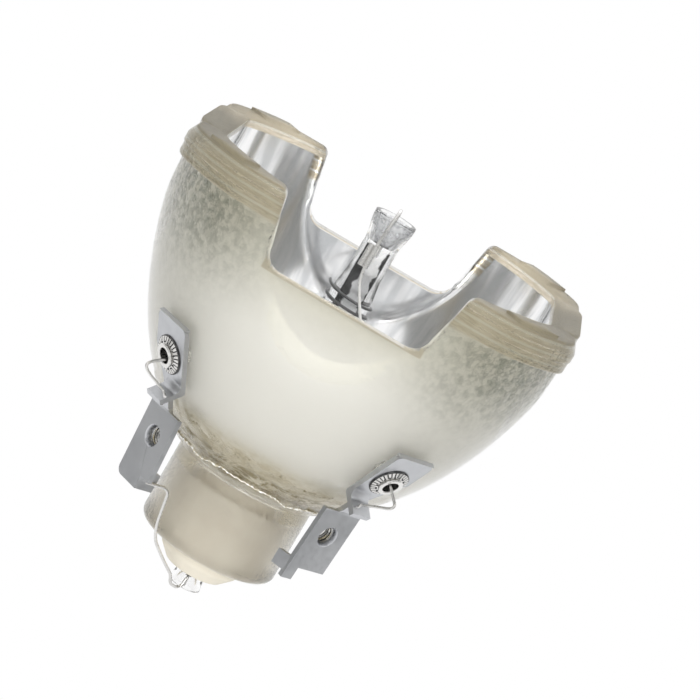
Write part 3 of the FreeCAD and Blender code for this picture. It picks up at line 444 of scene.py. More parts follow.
def group_with(name, wanted, given):
    """An empty shader group with named number inputs and outputs."""
    group = bpy.data.node_groups.new(name, "ShaderNodeTree")
    for title, value in wanted:
        socket = group.interface.new_socket(name=title, in_out="INPUT", socket_type="NodeSocketFloat")
        socket.default_value = value
    for title in given:
        group.interface.new_socket(name=title, in_out="OUTPUT", socket_type="NodeSocketFloat")
    return group, group.nodes.new("NodeGroupInput"), group.nodes.new("NodeGroupOutput")


# Zones of the reflector, shared by the glass and by the coating behind it. Those of height are named
# from the top down. Side is the left and right of the bowl, and Chips and Blotch are marks. The dark
# dashes over the dimples are painted shade, and the bright lines along the rim's steps painted highlights.
ZONE_EDGES = {
    "Top": (-0.0013, -0.0008),
    "Rim": (-0.0082, -0.0068),
    "Band": (-0.030, -0.009),
    "Torn": (-0.043, -0.054),
    "Neck": (-0.0600, -0.0625),
}
SIDE_EDGES = (0.012, 0.043)
NOTCH_FACE = ((-0.0159, -0.0156), (0.0174, 0.0170))
STAINED_EDGES = (-0.048, -0.054)
BELT_EDGES = (-0.0475, -0.0535, -0.0574, -0.0592)
BLOTCH_EDGES = (-0.0536, -0.0548, -0.0568, -0.0580)
SPECK_EDGES = (-0.0508, -0.0520, -0.0526, -0.0534)
BESIDE_EDGES = (-0.0642, -0.0634, -0.0592, -0.0584)
BESIDE_OUT = (0.0088, 0.0108)
DIMPLE_SHADE_EDGES = (-0.0070, -0.0086)
HIGHLIGHT_STEP = 0.0022
HIGHLIGHT_START = 5.28
HIGHLIGHT_SHARES = (0.60, 0.98)
STREAK_FLAT = 9
STREAK_SIZE = 300
STREAK_SHARES = (0.36, 0.62)
STAIN_FLAT = 3.0
STAIN_SIZE = 190
STAIN_SHARES = (0.46, 0.56)
SPECK_SIZE = 900
SPECK_SHARES = (0.58, 0.66)
DASH_SIZE = 900.0
DASH_SHARES = (0.36, 0.50)
BREAK_SIZE = 620
BREAK_SHARES = (0.42, 0.52)
CHIP_FLAT = 2.4
CHIP_SIZE = 260.0
CHIP_EDGE = 0.47
CHIP_FULL = 0.60

zones, zones_in, zones_out = group_with(
    "bowl zones", [("Chip Size", CHIP_SIZE), ("Chip Edge", CHIP_EDGE)],
    [*ZONE_EDGES, "Side", "Cut", "Highlight Lines", "Belt", "Blotch", "Beside", "Dimple Shade", "Streaks", "Chips"])
place = object_place(zones)
split = add(zones, "ShaderNodeSeparateXYZ", {0: place})
height = split.outputs["Z"]
across = arithmetic(zones, "ABSOLUTE", split.outputs["X"], 0.0)
found = {title: ramp(zones, height, *edges) for title, edges in ZONE_EDGES.items()}
found["Side"] = ramp(zones, across, *SIDE_EDGES)
found["Cut"] = times(zones, ramp(zones, height, *NOTCH_FACE[0]), ramp(zones, across, *NOTCH_FACE[1]))

# Painted highlight: bright lines at the heights of the rounded steps of the rim.
phase = arithmetic(zones, "ADD", times(zones, height, math.tau / HIGHLIGHT_STEP), HIGHLIGHT_START)
found["Highlight Lines"] = ramp(zones, arithmetic(zones, "SINE", phase, 0.0), *HIGHLIGHT_SHARES)
streaks = noise_value(zones, flattened(zones, place, STREAK_FLAT), STREAK_SIZE, 4.0, 0.7)
found["Streaks"] = ramp(zones, streaks, *STREAK_SHARES)

found["Belt"] = between(zones, height, *BELT_EDGES)
stains = noise_value(zones, flattened(zones, place, STAIN_FLAT), STAIN_SIZE, 5.0, 0.7, 1.0)
stains = ramp(zones, stains, *STAIN_SHARES)
specks = ramp(zones, noise_value(zones, place, SPECK_SIZE, 3.0, 0.7), *SPECK_SHARES)
found["Blotch"] = arithmetic(zones, "MAXIMUM", times(zones, between(zones, height, *BLOTCH_EDGES), stains),
                             times(zones, between(zones, height, *SPECK_EDGES), specks))
found["Beside"] = times(zones, between(zones, height, *BESIDE_EDGES), ramp(zones, across, *BESIDE_OUT))

# Painted shade: dark dashes over the dimples below the rim, strongest at the left and right.
cells = add(zones, "ShaderNodeTexVoronoi", {"Vector": place, "Scale": DASH_SIZE}).outputs["Distance"]
dashes = times(zones, ramp(zones, cells, *DASH_SHARES),
               ramp(zones, noise_value(zones, place, BREAK_SIZE), *BREAK_SHARES))
shown = times(zones, arithmetic(zones, "ADD", times(zones, found["Band"], 0.92), 0.08),
              arithmetic(zones, "ADD", times(zones, found["Side"], 0.97), 0.03))
found["Dimple Shade"] = times(zones, dashes, times(zones, shown, ramp(zones, height, *DIMPLE_SHADE_EDGES)))

chips = noise_value(zones, flattened(zones, place, CHIP_FLAT), zones_in.outputs["Chip Size"], 5.0, 0.65, 1.2)
chips = ramp(zones, chips, zones_in.outputs["Chip Edge"], CHIP_FULL)
chips = times(zones, chips, ramp(zones, height, *STAINED_EDGES))
found["Chips"] = times(zones, chips, ramp(zones, height, BELT_EDGES[3], BELT_EDGES[2]))
for title, value in found.items():
    zones.links.new(value, zones_out.inputs[title])


def placed(tree, group, **values):
    """A shader group placed in a material, with the values of its inputs."""
    node = tree.nodes.new("ShaderNodeGroup")
    node.node_tree = group
    for title, value in values.items():
        node.inputs[title.replace("_", " ")].default_value = value
    return node.outputs


RIM_DARK = (0.60, 0.52, 0.38, 1)
RIM_PALE = (0.90, 0.82, 0.67, 1)
# The near-white tone on the rim's bright lines is a painted highlight.
RIM_TONES = (
    ("Highlight Lines", 1, (1.0, 0.98, 0.92, 1)),
    ("Top", 1, (0.58, 0.50, 0.35, 1)),
)
BOWL_TONE = (0.99, 0.985, 0.955, 1)
# Glass tones; the first, dark dashes over the dimples, is painted shade.
GLASS_TONES = (
    ("Dimple Shade", 1, (0.36, 0.38, 0.32, 1)),
    ("Belt", 0.8, (0.80, 0.73, 0.55, 1)),
    ("Chips", 0.7, (0.55, 0.48, 0.30, 1)),
    ("Blotch", 1, (0.20, 0.16, 0.06, 1)),
    ("Cut", 1, (0.62, 0.55, 0.43, 1)),
    ("Neck", 1, (0.95, 0.93, 0.88, 1)),
    ("Beside", 1, (0.66, 0.59, 0.42, 1)),
)
BOWL_ROUGHNESS = 0.03
GLASS_ROUGHNESS = (("Rim", 0.15), ("Neck", 0.20), ("Top", 0.45))
SPARKLE_DEPTH = 0.0003

glass, tree, shader = new_look("pressed_glass", WHITE, 0.12)
shader.inputs["Transmission Weight"].default_value = 1.0
shader.inputs["IOR"].default_value = GLASS_IOR
place = object_place(tree)
zone = placed(tree, zones, Chip_Size=CHIP_SIZE, Chip_Edge=CHIP_EDGE)
rim_tone = layered(tree, blended(tree, zone["Streaks"], RIM_DARK, RIM_PALE), zone, RIM_TONES)
tone = layered(tree, blended(tree, zone["Rim"], BOWL_TONE, rim_tone), zone, GLASS_TONES)
tree.links.new(tone, shader.inputs["Base Color"])
satin = BOWL_ROUGHNESS
for title, roughness in GLASS_ROUGHNESS:
    satin = mixed(tree, zone[title], satin, roughness)
tree.links.new(satin, shader.inputs["Roughness"])
shader.inputs["Specular Tint"].default_value = (0.78, 0.73, 0.63, 1)
tree.links.new(ramp(tree, zone["Top"], 0, 1, 0.35, 0.0), shader.inputs["Coat Weight"])
shader.inputs["Coat Roughness"].default_value = 0.12
fine = noise_value(tree, place, 2600, 3.0, 0.6)
hammer = noise_value(tree, place, 950, 1.5, 0.45, 0.4)
hammered = times(tree, hammer, arithmetic(tree, "ADD", zone["Band"], 0.25))
hammered = times(tree, hammered, arithmetic(tree, "ADD", zone["Torn"], 1.0))
ridged = times(tree, zone["Streaks"], times(tree, zone["Rim"], 0.12))
sparkle = arithmetic(tree, "ADD", times(tree, fine, 0.40), hammered)
sparkle = arithmetic(tree, "ADD", sparkle, ridged)
roughen(tree, shader, sparkle, SPARKLE_DEPTH, 0.9)
soak = add(tree, "ShaderNodeVolumeAbsorption", {"Color": (0.82, 0.78, 0.68, 1), "Density": 14.0})
tree.links.new(soak.outputs[0], tree.nodes["Material Output"].inputs["Volume"])
reflector = new_piece("pressed_reflector", reflector_mesh, [glass], sharp=40)
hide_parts("reflector")


# Mould seam
# A rough white flash of glass runs round the foot of the bowl, where the halves of the mould met its
# plug. It was left ragged when the piece came out of the press.
SEAM_HEIGHT = -0.0578
SEAM_STEPS = 420
SEAM_SIZE = 0.00016
SEAM_STRETCH = 1.6
SEAM_SUNK = 0.00012
SEAM_JAG = 0.00045
SEAM_JAGS = 26
SEAM_FRAYS = 70
SEAM_FRAY = 1.1
SEAM_THINNEST = 0.25
SEAM_DIP = 0.0011
SEAM_DIP_AT = 0.0104
SEAM_DIP_SPREAD = 0.0022
SEAM_CORNERS = (0.3, 1.6, 2.8, 4.0, 5.3)
SEAM_DARK = (0.62, 0.57, 0.44, 1)
SEAM_PALE = (0.98, 0.97, 0.93, 1)

seam_look, tree, shader = new_look("rough_glass_flash", (0.93, 0.91, 0.85, 1), 0.6)
place = object_place(tree)
grain = noise_value(tree, place, 1400, 3.0, 0.6)
two_toned(tree, shader, ramp(tree, grain, 0.40, 0.60), SEAM_DARK, SEAM_PALE)


def closed_round(rows, name):
    """A closed shell from rings of points, in which the last ring joins the first."""
    shell = bmesh.new()
    rings = [[shell.verts.new(point) for point in row] for row in rows]
    for ring, following in zip(rings, rings[1:] + rings[:1]):
        for j in range(len(ring)):
            k = (j + 1) % len(ring)
            shell.faces.new((ring[j], following[j], following[k], ring[k]))
    bmesh.ops.recalc_face_normals(shell, faces=shell.faces)
    mesh = bpy.data.meshes.new(name)
    shell.to_mesh(mesh)
    shell.free()
    return mesh


seam_rows = []
for i in range(SEAM_STEPS):
    turn = math.tau * i / SEAM_STEPS
    out = Vector((math.cos(turn), math.sin(turn), 0))
    jag = noise.noise(Vector((out.x * SEAM_JAGS, out.y * SEAM_JAGS, 0.0)))
    fray = noise.noise(Vector((out.x * SEAM_FRAYS, out.y * SEAM_FRAYS, 3.0)))
    z = SEAM_HEIGHT + SEAM_JAG * jag
    radius = bowl_radius(turn, z)
    z -= SEAM_DIP * math.exp(-((abs(radius * out.x) - SEAM_DIP_AT) / SEAM_DIP_SPREAD) ** 2)
    middle = out * (bowl_radius(turn, z) - SEAM_SUNK) + Vector((0, 0, z))
    size = SEAM_SIZE * max(SEAM_THINNEST, 1.0 + SEAM_FRAY * fray)
    seam_rows.append([middle + out * size * SEAM_STRETCH * math.cos(corner)
                      + Vector((0, 0, size * math.sin(corner))) for corner in SEAM_CORNERS])
seam_mesh = closed_round(seam_rows, "mould_seam")
new_piece("mould_seam", seam_mesh, [seam_look], sharp=60)


# Mirror coating
# Layers evaporated on to the inside of the bowl, from the throat to just short of the rim's face, so
# that a lip of bare glass stays above. Bright inside; through the glass its back is a milky cream.
MIRROR_RADIUS = 0.0412
MIRROR_HALF_LENGTH = 0.0630
MIRROR_SIDE = 0.0363
MIRROR_FRONT = 0.0357
MIRROR_BLEND = 0.0013
MIRROR_TOP = -0.0026
THROAT_RADIUS = 0.0070
COATING_SUNK = 0.00005
COATING_PROUD = 0.00006
WAVE_DEPTH = 0.00003
WAVES_ROUND = 9
WAVES_DOWN = 40
MIRROR_ROUND = 360
MIRROR_DOWN = 90
NOTCH_HALF = 0.0200
NOTCH_FLOOR_HALF = 0.01705
NOTCH_FLOOR = -0.01555
NOTCH_CORNER = 0.0042
NOTCH_MARGIN = 0.0003
NOTCH_RISE = 0.004
NOTCH_REACH = 0.06
NOTCH_STEPS = 6
BANDS_ROUND = 5.0
BANDS_DOWN = 18.0
BANDS_SIZE = 2.2
SILVER_PALE = (0.95, 0.95, 0.95, 1)
SILVER_DARK = (0.72, 0.73, 0.74, 1)
MILK = (1.0, 0.995, 0.965, 1)
# The Band and Side tones are painted shade: the coating's back is painted darker under the rim and towards
# the left and right. The dark dashes over the dimples are painted shade too.
MILK_TONES = (
    ("Band", 0.8, (0.64, 0.63, 0.54, 1)),
    ("Side", 0.6, (0.60, 0.59, 0.51, 1)),
    ("Dimple Shade", 1, (0.18, 0.20, 0.15, 1)),
    ("Chips", 0.6, (0.50, 0.42, 0.22, 1)),
    ("Blotch", 1, (0.22, 0.17, 0.07, 1)),
)
MILK_ROUGHNESS = (0.85, 0.24)


def softly_least(first, second, blend):
    """The lesser of two lengths, rounded over where they meet."""
    near = max(blend - abs(first - second), 0.0) / blend
    return min(first, second) - near * near * blend / 4


def mirror_radius(turn, z):
    """Distance of the mirror from the axis, at an angle about it and at a height."""
    bowl = MIRROR_RADIUS * math.sqrt(1 - ((z - BOWL_CENTRE) / MIRROR_HALF_LENGTH) ** 2)
    side = flat_at(MIRROR_SIDE, math.cos(turn))
    front = flat_at(MIRROR_FRONT, math.sin(turn))
    return softly_least(softly_least(bowl, side, MIRROR_BLEND), front, MIRROR_BLEND)


section = [(NOTCH_HALF, NOTCH_RISE), (NOTCH_HALF, 0.0)]
for step in range(NOTCH_STEPS + 1):
    turn = math.radians(90 * step / NOTCH_STEPS)
    section.append((NOTCH_FLOOR_HALF - NOTCH_CORNER * (1 - math.cos(turn)),
                    NOTCH_FLOOR + NOTCH_CORNER * (1 - math.sin(turn))))
section += [(-x, z) for x, z in reversed(section)]
bar = bmesh.new()
ends = [[bar.verts.new((x + math.copysign(NOTCH_MARGIN, x), y, z - NOTCH_MARGIN)) for x, z in section]
        for y in (-NOTCH_REACH, NOTCH_REACH)]
for i in range(len(section)):
    following = (i + 1) % len(section)
    bar.faces.new((ends[0][i], ends[0][following], ends[1][following], ends[1][i]))
bar.faces.new(ends[0])
bar.faces.new(ends[1][::-1])
bmesh.ops.recalc_face_normals(bar, faces=bar.faces)
bar_mesh = bpy.data.meshes.new("notch bar")
bar.to_mesh(bar_mesh)
bar.free()

coat = bmesh.new()
mirror_foot = BOWL_CENTRE - MIRROR_HALF_LENGTH * math.sqrt(1 - (THROAT_RADIUS / MIRROR_RADIUS) ** 2)
walls = []
for inward, waves in ((-COATING_SUNK, 0.0), (COATING_PROUD, WAVE_DEPTH)):
    rings = []
    for step in range(MIRROR_DOWN + 1):
        z = MIRROR_TOP + (mirror_foot - MIRROR_TOP) * math.sin(math.pi / 2 * step / MIRROR_DOWN)
        ring = []
        for i in range(MIRROR_ROUND):
            turn = math.tau * i / MIRROR_ROUND
            wave = noise.noise(Vector((WAVES_ROUND * math.cos(turn), WAVES_ROUND * math.sin(turn),
                                       z * WAVES_DOWN)))
            radius = mirror_radius(turn, z) - inward + waves * wave
            ring.append(coat.verts.new((radius * math.cos(turn), radius * math.sin(turn), z)))
        rings.append(ring)
    walls.append(rings)
for rings, outer in ((walls[0], True), (walls[1], False)):
    for upper, lower in zip(rings, rings[1:]):
        for i in range(MIRROR_ROUND):
            following = (i + 1) % MIRROR_ROUND
            corners = (upper[i], lower[i], lower[following], upper[following])
            face = coat.faces.new(corners if outer else corners[::-1])
            face.material_index = 1 if outer else 0
for outer, inner, top in ((walls[0][0], walls[1][0], True), (walls[0][-1], walls[1][-1], False)):
    for i in range(MIRROR_ROUND):
        following = (i + 1) % MIRROR_ROUND
        corners = (outer[i], outer[following], inner[following], inner[i])
        coat.faces.new(corners if top else corners[::-1])
coat_mesh = bpy.data.meshes.new("coat")
for face_of_coat in ("front of the coat", "back of the coat"):
    coat_mesh.materials.append(bpy.data.materials.new(face_of_coat))
coat.to_mesh(coat_mesh)
coat.free()
coating_mesh = combined(coat_mesh, bar_mesh, "DIFFERENCE", "mirror_coating")

silver, tree, shader = new_look("evaporated_aluminium", (0.88, 0.88, 0.88, 1), 0.12, 1.0)
place = object_place(tree)
split = add(tree, "ShaderNodeSeparateXYZ", {0: place})
angle = arithmetic(tree, "ARCTAN2", split.outputs["Y"], split.outputs["X"])
banded = add(tree, "ShaderNodeCombineXYZ", {0: times(tree, angle, BANDS_ROUND),
                                           1: times(tree, split.outputs["Z"], BANDS_DOWN)}).outputs[0]
bands = noise_value(tree, banded, BANDS_SIZE)
two_toned(tree, shader, ramp(tree, bands, 0.40, 0.62), SILVER_PALE, SILVER_DARK)
tree.links.new(ramp(tree, bands, 0.3, 0.7, 0.08, 0.20), shader.inputs["Roughness"])

milk, tree, shader = new_look("coating_seen_through_glass", (0.93, 0.92, 0.87, 1), 0.30, 0.22)
zone = placed(tree, zones, Chip_Size=CHIP_SIZE, Chip_Edge=CHIP_EDGE)
tree.links.new(layered(tree, MILK, zone, MILK_TONES), shader.inputs["Base Color"])
keen = arithmetic(tree, "MAXIMUM", zone["Torn"], times(tree, zone["Band"], zone["Side"]))
tree.links.new(ramp(tree, keen, 0, 1, *MILK_ROUGHNESS), shader.inputs["Roughness"])
new_piece("mirror_coating", coating_mesh, [silver, milk], sharp=50)


# Cement plug
# Cream ceramic cement, cast into the neck round the burner's rear stem and domed behind it. It wets
# the glass, so through the thick neck it looks half as wide again as the bore that it fills.
CEMENT_FILM = 0.00012
CEMENT_BORE = 0.0092
CEMENT_THROAT = 0.0068
CEMENT_STEP = -0.0638
CEMENT_AROUND = 128
NECK_END = -0.0784
NECK_MARGIN = 0.0001
DOME_SHADE_EDGES = (-0.0783, -0.0786)
CAST_DARK = (0.76, 0.71, 0.62, 1)
CAST_PALE = (0.82, 0.78, 0.69, 1)
DOME_SHADE_TONE = (0.60, 0.56, 0.47, 1)
cement_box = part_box("cement_plug")

cement, tree, shader = new_look("cement", (0.88, 0.84, 0.75, 1), 0.85)
place = object_place(tree)
grain = noise_value(tree, place, 1500, 4.0, 0.6)
patch = noise_value(tree, place, 160)
cast = blended(tree, ramp(tree, patch, 0.3, 0.7), CAST_DARK, CAST_PALE)
split = add(tree, "ShaderNodeSeparateXYZ", {0: place})
# Painted shade: the dome behind the neck is painted a darker beige than the cast cement.
dome_shade = ramp(tree, split.outputs["Z"], *DOME_SHADE_EDGES)
two_toned(tree, shader, dome_shade, cast, DOME_SHADE_TONE)
roughen(tree, shader, grain, 0.0001, 0.6)


def dress(node, look):
    """Gives a node its material and leaves its mesh as it is."""
    mesh = nodes[node].data
    mesh.materials.clear()
    mesh.materials.append(look)


dress("cement_plug", cement)


def turned(outline, steps, name="turned"):
    """A closed ring about Z from a closed outline of (radius, height) pairs."""
    return closed_round([[(r * math.cos(math.tau * i / steps), r * math.sin(math.tau * i / steps), z)
                          for i in range(steps)] for r, z in outline], name)


profile = [(CEMENT_THROAT, cement_box[1].z), (CEMENT_THROAT, CEMENT_STEP),
           (CEMENT_BORE, CEMENT_STEP), (CEMENT_BORE, NECK_END + NECK_MARGIN)]
film_outline = []
for grow, way in ((CEMENT_FILM / 2, profile), (-CEMENT_FILM, profile[::-1])):
    film_outline += [(r + grow, z + grow if z == CEMENT_STEP else z) for r, z in way]
film_mesh = turned(film_outline, CEMENT_AROUND)
new_piece("cement_film", film_mesh, [cement], sharp=40)


# Burner envelope
# Fused quartz, blown to a small bulb at the mirror's focus and drawn to a flared stem at either end.
# The front stem ends in a funnel, which is frosted inside from the flame that sealed it.
QUARTZ_IOR = 1.46

quartz, tree, shader = new_look("quartz", (0.98, 0.98, 0.98, 1), 0.02)
shader.inputs["Transmission Weight"].default_value = 1.0
shader.inputs["IOR"].default_value = QUARTZ_IOR
place = object_place(tree)
roughen(tree, shader, noise_value(tree, place, 300), 0.0002, 0.35)
dress("burner_envelope", quartz)

FUNNEL = ((0.00355, -0.0011), (0.00300, -0.0030), (0.00240, -0.0048), (0.00182, -0.0064))
FROST_OUTSIDE = 0.00004
FROST_INSIDE = 0.00009
FROST_AROUND = 64
FROST_DARK = (0.62, 0.63, 0.65, 1)
FROST_PALE = (0.95, 0.96, 0.97, 1)
frost, tree, shader = new_look("frosted_quartz", (0.72, 0.73, 0.74, 1), 0.75)
place = object_place(tree)
cloud = noise_value(tree, place, 700, 4.0, 0.6)
two_toned(tree, shader, ramp(tree, cloud, 0.35, 0.65), FROST_DARK, FROST_PALE)
tree.links.new(ramp(tree, cloud, 0.3, 0.62, 0.15, 0.60), shader.inputs["Alpha"])
cup_mesh = turned([(r - FROST_OUTSIDE, z) for r, z in FUNNEL]
                  + [(r - FROST_INSIDE, z) for r, z in FUNNEL[::-1]], FROST_AROUND)
new_piece("funnel_frost", cup_mesh, [frost])


# Foils, electrodes and leads
# Molybdenum foil pinched flat in each stem, welded between a tungsten electrode and a molybdenum
# lead. Its edges are painted black, a painted dark reflection, and its middle is left bright.
FOIL_REFLECTION_WOBBLE = 0.0016
FOIL_REFLECTION_LEFT = (0.0004, 0.0001)
FOIL_REFLECTION_RIGHT = (0.0021, 0.0023)
FOIL_BRIGHT = (0.86, 0.86, 0.86, 1)
FOIL_REFLECTION_DARK = (0.012, 0.012, 0.012, 1)

foil, tree, shader = new_look("molybdenum_foil", (0.7, 0.7, 0.7, 1), 0.3, 1.0)
place = object_place(tree)
split = add(tree, "ShaderNodeSeparateXYZ", {0: place})
# Painted dark reflection: the foil is painted black and duller towards its left and right edges, along a
# wavering border.
reflection_wobble = times(tree, noise_value(tree, place, 500, 3.0, 0.6), FOIL_REFLECTION_WOBBLE)
edge = arithmetic(tree, "ADD", split.outputs["X"], reflection_wobble)
reflection_left = ramp(tree, edge, *FOIL_REFLECTION_LEFT)
reflection_right = ramp(tree, edge, *FOIL_REFLECTION_RIGHT)
reflection_share = arithmetic(tree, "MAXIMUM", reflection_left, reflection_right)
two_toned(tree, shader, reflection_share, FOIL_BRIGHT, FOIL_REFLECTION_DARK)
tree.links.new(ramp(tree, reflection_share, 0, 1, 0.28, 0.6), shader.inputs["Roughness"])
tree.links.new(ramp(tree, reflection_share, 0, 1, 1.0, 0.2), shader.inputs["Metallic"])
for node in ("front_foil", "rear_foil"):
    dress(node, foil)

tungsten, tree, shader = new_look("tungsten", (0.25, 0.25, 0.26, 1), 0.4, 1.0)
place = object_place(tree)
tree.links.new(ramp(tree, noise_value(tree, place, 900), 0.3, 0.7, 0.3, 0.5), shader.inputs["Roughness"])
for node in ("front_electrode", "rear_electrode", "front_electrode_coil", "rear_electrode_coil"):
    dress(node, tungsten)


# Metal of the terminals, eyelets, washers and wires
# The terminals are folded from plated steel sheet with edges rolled over by the press. Eyelets and
# washers are bright nickel, the leads nickel wire, and the ignition wire steel darkened by heat.
worn, worn_in, worn_out = group_with(
    "metal grain", [("Scale", 400.0), ("Low", 0.3), ("High", 0.5)], ["Roughness", "Height", "Patches"])
place = object_place(worn)
speck = noise_value(worn, place, worn_in.outputs["Scale"], 4.0, 0.6)
clouds = noise_value(worn, place, 110.0)
rough = add(worn, "ShaderNodeMapRange", {"Value": speck, "From Min": 0.3, "From Max": 0.7,
                                         "To Min": worn_in.outputs["Low"],
                                         "To Max": worn_in.outputs["High"]})
worn.links.new(rough.outputs["Result"], worn_out.inputs["Roughness"])
worn.links.new(speck, worn_out.inputs["Height"])
worn.links.new(ramp(worn, clouds, 0.3, 0.7), worn_out.inputs["Patches"])


def metal(name, dark, pale, scale, low, high, depth):
    """A metal of two near tones, with a fine grain in its gloss and its surface."""
    look, tree, shader = new_look(name, pale, low, 1.0)
    grain = placed(tree, worn, Scale=scale, Low=low, High=high)
    two_toned(tree, shader, grain["Patches"], dark, pale)
    tree.links.new(grain["Roughness"], shader.inputs["Roughness"])
    roughen(tree, shader, grain["Height"], depth, 0.5)
    return look


HEAT_EDGES = (0.012, 0.006)
WIRE_COLD = (0.80, 0.79, 0.77, 1)
WIRE_HOT = (0.17, 0.17, 0.17, 1)
ROLLED_EDGE = 0.00016
ROLLED_ANGLE = math.radians(50)

plated = metal("plated_steel", (0.54, 0.55, 0.57, 1), (0.62, 0.63, 0.65, 1), 900.0, 0.30, 0.44, 0.00003)
bright = metal("bright_nickel", (0.74, 0.73, 0.71, 1), (0.84, 0.83, 0.81, 1), 1200.0, 0.16, 0.28, 0.00001)
wire = metal("nickel_wire", (0.70, 0.69, 0.67, 1), (0.80, 0.79, 0.77, 1), 1500.0, 0.22, 0.36, 0.00002)
heated, tree, shader = new_look("heated_wire", (0.7, 0.7, 0.7, 1), 0.3, 1.0)
split = add(tree, "ShaderNodeSeparateXYZ", {0: object_place(tree)})
squares = [times(tree, split.outputs[title], split.outputs[title]) for title in "XY"]
reach = arithmetic(tree, "POWER", arithmetic(tree, "ADD", *squares), 0.5)
hot = ramp(tree, reach, *HEAT_EDGES)
two_toned(tree, shader, hot, WIRE_COLD, WIRE_HOT)
tree.links.new(ramp(tree, hot, 0, 1, 0.28, 0.40), shader.inputs["Roughness"])
for node in ("left_terminal", "right_terminal"):
    dress(node, plated)
    weld = nodes[node].modifiers.new("weld", "WELD")
    weld.merge_threshold = WELD_REACH
    rolled = nodes[node].modifiers.new("rolled edges", "BEVEL")
    rolled.width = ROLLED_EDGE
    rolled.segments = 2
    rolled.limit_method = "ANGLE"
    rolled.angle_limit = ROLLED_ANGLE
    rolled.harden_normals = True
for node in ("left_eyelet", "right_eyelet", "left_lock_washer", "right_lock_washer"):
    dress(node, bright)
for node in ("feed_wire", "rear_feed_wire", "front_lead", "rear_lead", "crimp_sleeve"):
    dress(node, wire)
dress("ignition_wire", heated)


# Shade at the lock washers
# Each washer is stamped from spring steel: its outer edge stands off the plate over a dark ring, a
# painted shadow in the gap, and small dark wedges between the roots of its teeth are painted shade.
WASHER_SLOPE = math.radians(29.71)
GAP_OUTSIDE = 0.00398
GAP_INSIDE = 0.00365
GAP_HEIGHT = 0.00022
GAP_LIFT = 0.00002
GAP_AROUND = 72
ROOT_REACH = 0.00268
ROOT_WEDGES = 16
ROOT_SIZE = 0.00026
ROOT_HEIGHT = 0.00012
ROOT_SUNK = 0.2
ROOT_NEAR = 0.0003
SHADE_BLACK = (0.015, 0.015, 0.016, 1)
SHADE_GREY = (0.06, 0.06, 0.06, 1)

# Painted shade: a near-black look for the ring under each washer, the roots of its teeth and the roots of
# the threads.
dark, tree, shader = new_look("painted_shade", (0.03, 0.03, 0.03, 1), 0.6)
place = object_place(tree)
two_toned(tree, shader, ramp(tree, noise_value(tree, place, 900), 0.4, 0.6), SHADE_BLACK, SHADE_GREY)


def pattern_with(name, sizes):
    """An empty geometry group with named inputs, each a whole or a broken number."""
    tree = bpy.data.node_groups.new(name, "GeometryNodeTree")
    sockets = {}
    for title, value in sizes.items():
        kind = "NodeSocketInt" if isinstance(value, int) else "NodeSocketFloat"
        sockets[title] = tree.interface.new_socket(name=title, in_out="INPUT", socket_type=kind)
        sockets[title].default_value = value
    tree.interface.new_socket(name="Geometry", in_out="OUTPUT", socket_type="NodeSocketGeometry")
    return tree, tree.nodes.new("NodeGroupInput").outputs, sockets


def finish_pattern(tree, result, look):
    """Ends a geometry group with real meshes in their material."""
    real = add(tree, "GeometryNodeRealizeInstances", {"Geometry": result})
    coloured = add(tree, "GeometryNodeSetMaterial", {"Geometry": real.outputs[0], "Material": look})
    tree.links.new(coloured.outputs[0], tree.nodes.new("NodeGroupOutput").inputs[0])


def grown(tree, socket, value):
    """The plain mesh that a geometry group gives, with one input set by its socket's identifier."""
    holder = bpy.data.objects.new("holder", bpy.data.meshes.new("holder"))
    bpy.context.scene.collection.objects.link(holder)
    pattern = holder.modifiers.new("pattern", "NODES")
    pattern.node_group = tree
    pattern[socket.identifier] = value
    mesh = bpy.data.meshes.new_from_object(holder.evaluated_get(bpy.context.evaluated_depsgraph_get()))
    holder.modifiers.clear()
    bpy.data.objects.remove(holder)
    return mesh


# Painted shade: a ring of small dark wedges on each washer, between the roots of its teeth.
roots, given, root_sockets = pattern_with("tooth roots", {"Reach": ROOT_REACH, "Size": ROOT_SIZE,
                                                          "Depth": ROOT_HEIGHT, "Wedges": ROOT_WEDGES})
circle = add(roots, "GeometryNodeMeshCircle", {"Vertices": given["Wedges"], "Radius": given["Reach"]})
wedge = add(roots, "GeometryNodeMeshCone", {"Vertices": 3, "Radius Top": given["Size"],
                                            "Radius Bottom": given["Size"], "Depth": given["Depth"]})
where = add(roots, "GeometryNodeInputPosition").outputs[0]
facing = add(roots, "FunctionNodeAlignEulerToVector", {"Vector": where}, axis="X")
laid = add(roots, "GeometryNodeInstanceOnPoints", {"Points": circle.outputs[0],
                                                   "Instance": wedge.outputs[0],
                                                   "Rotation": facing.outputs[0]})
finish_pattern(roots, laid.outputs[0], dark)

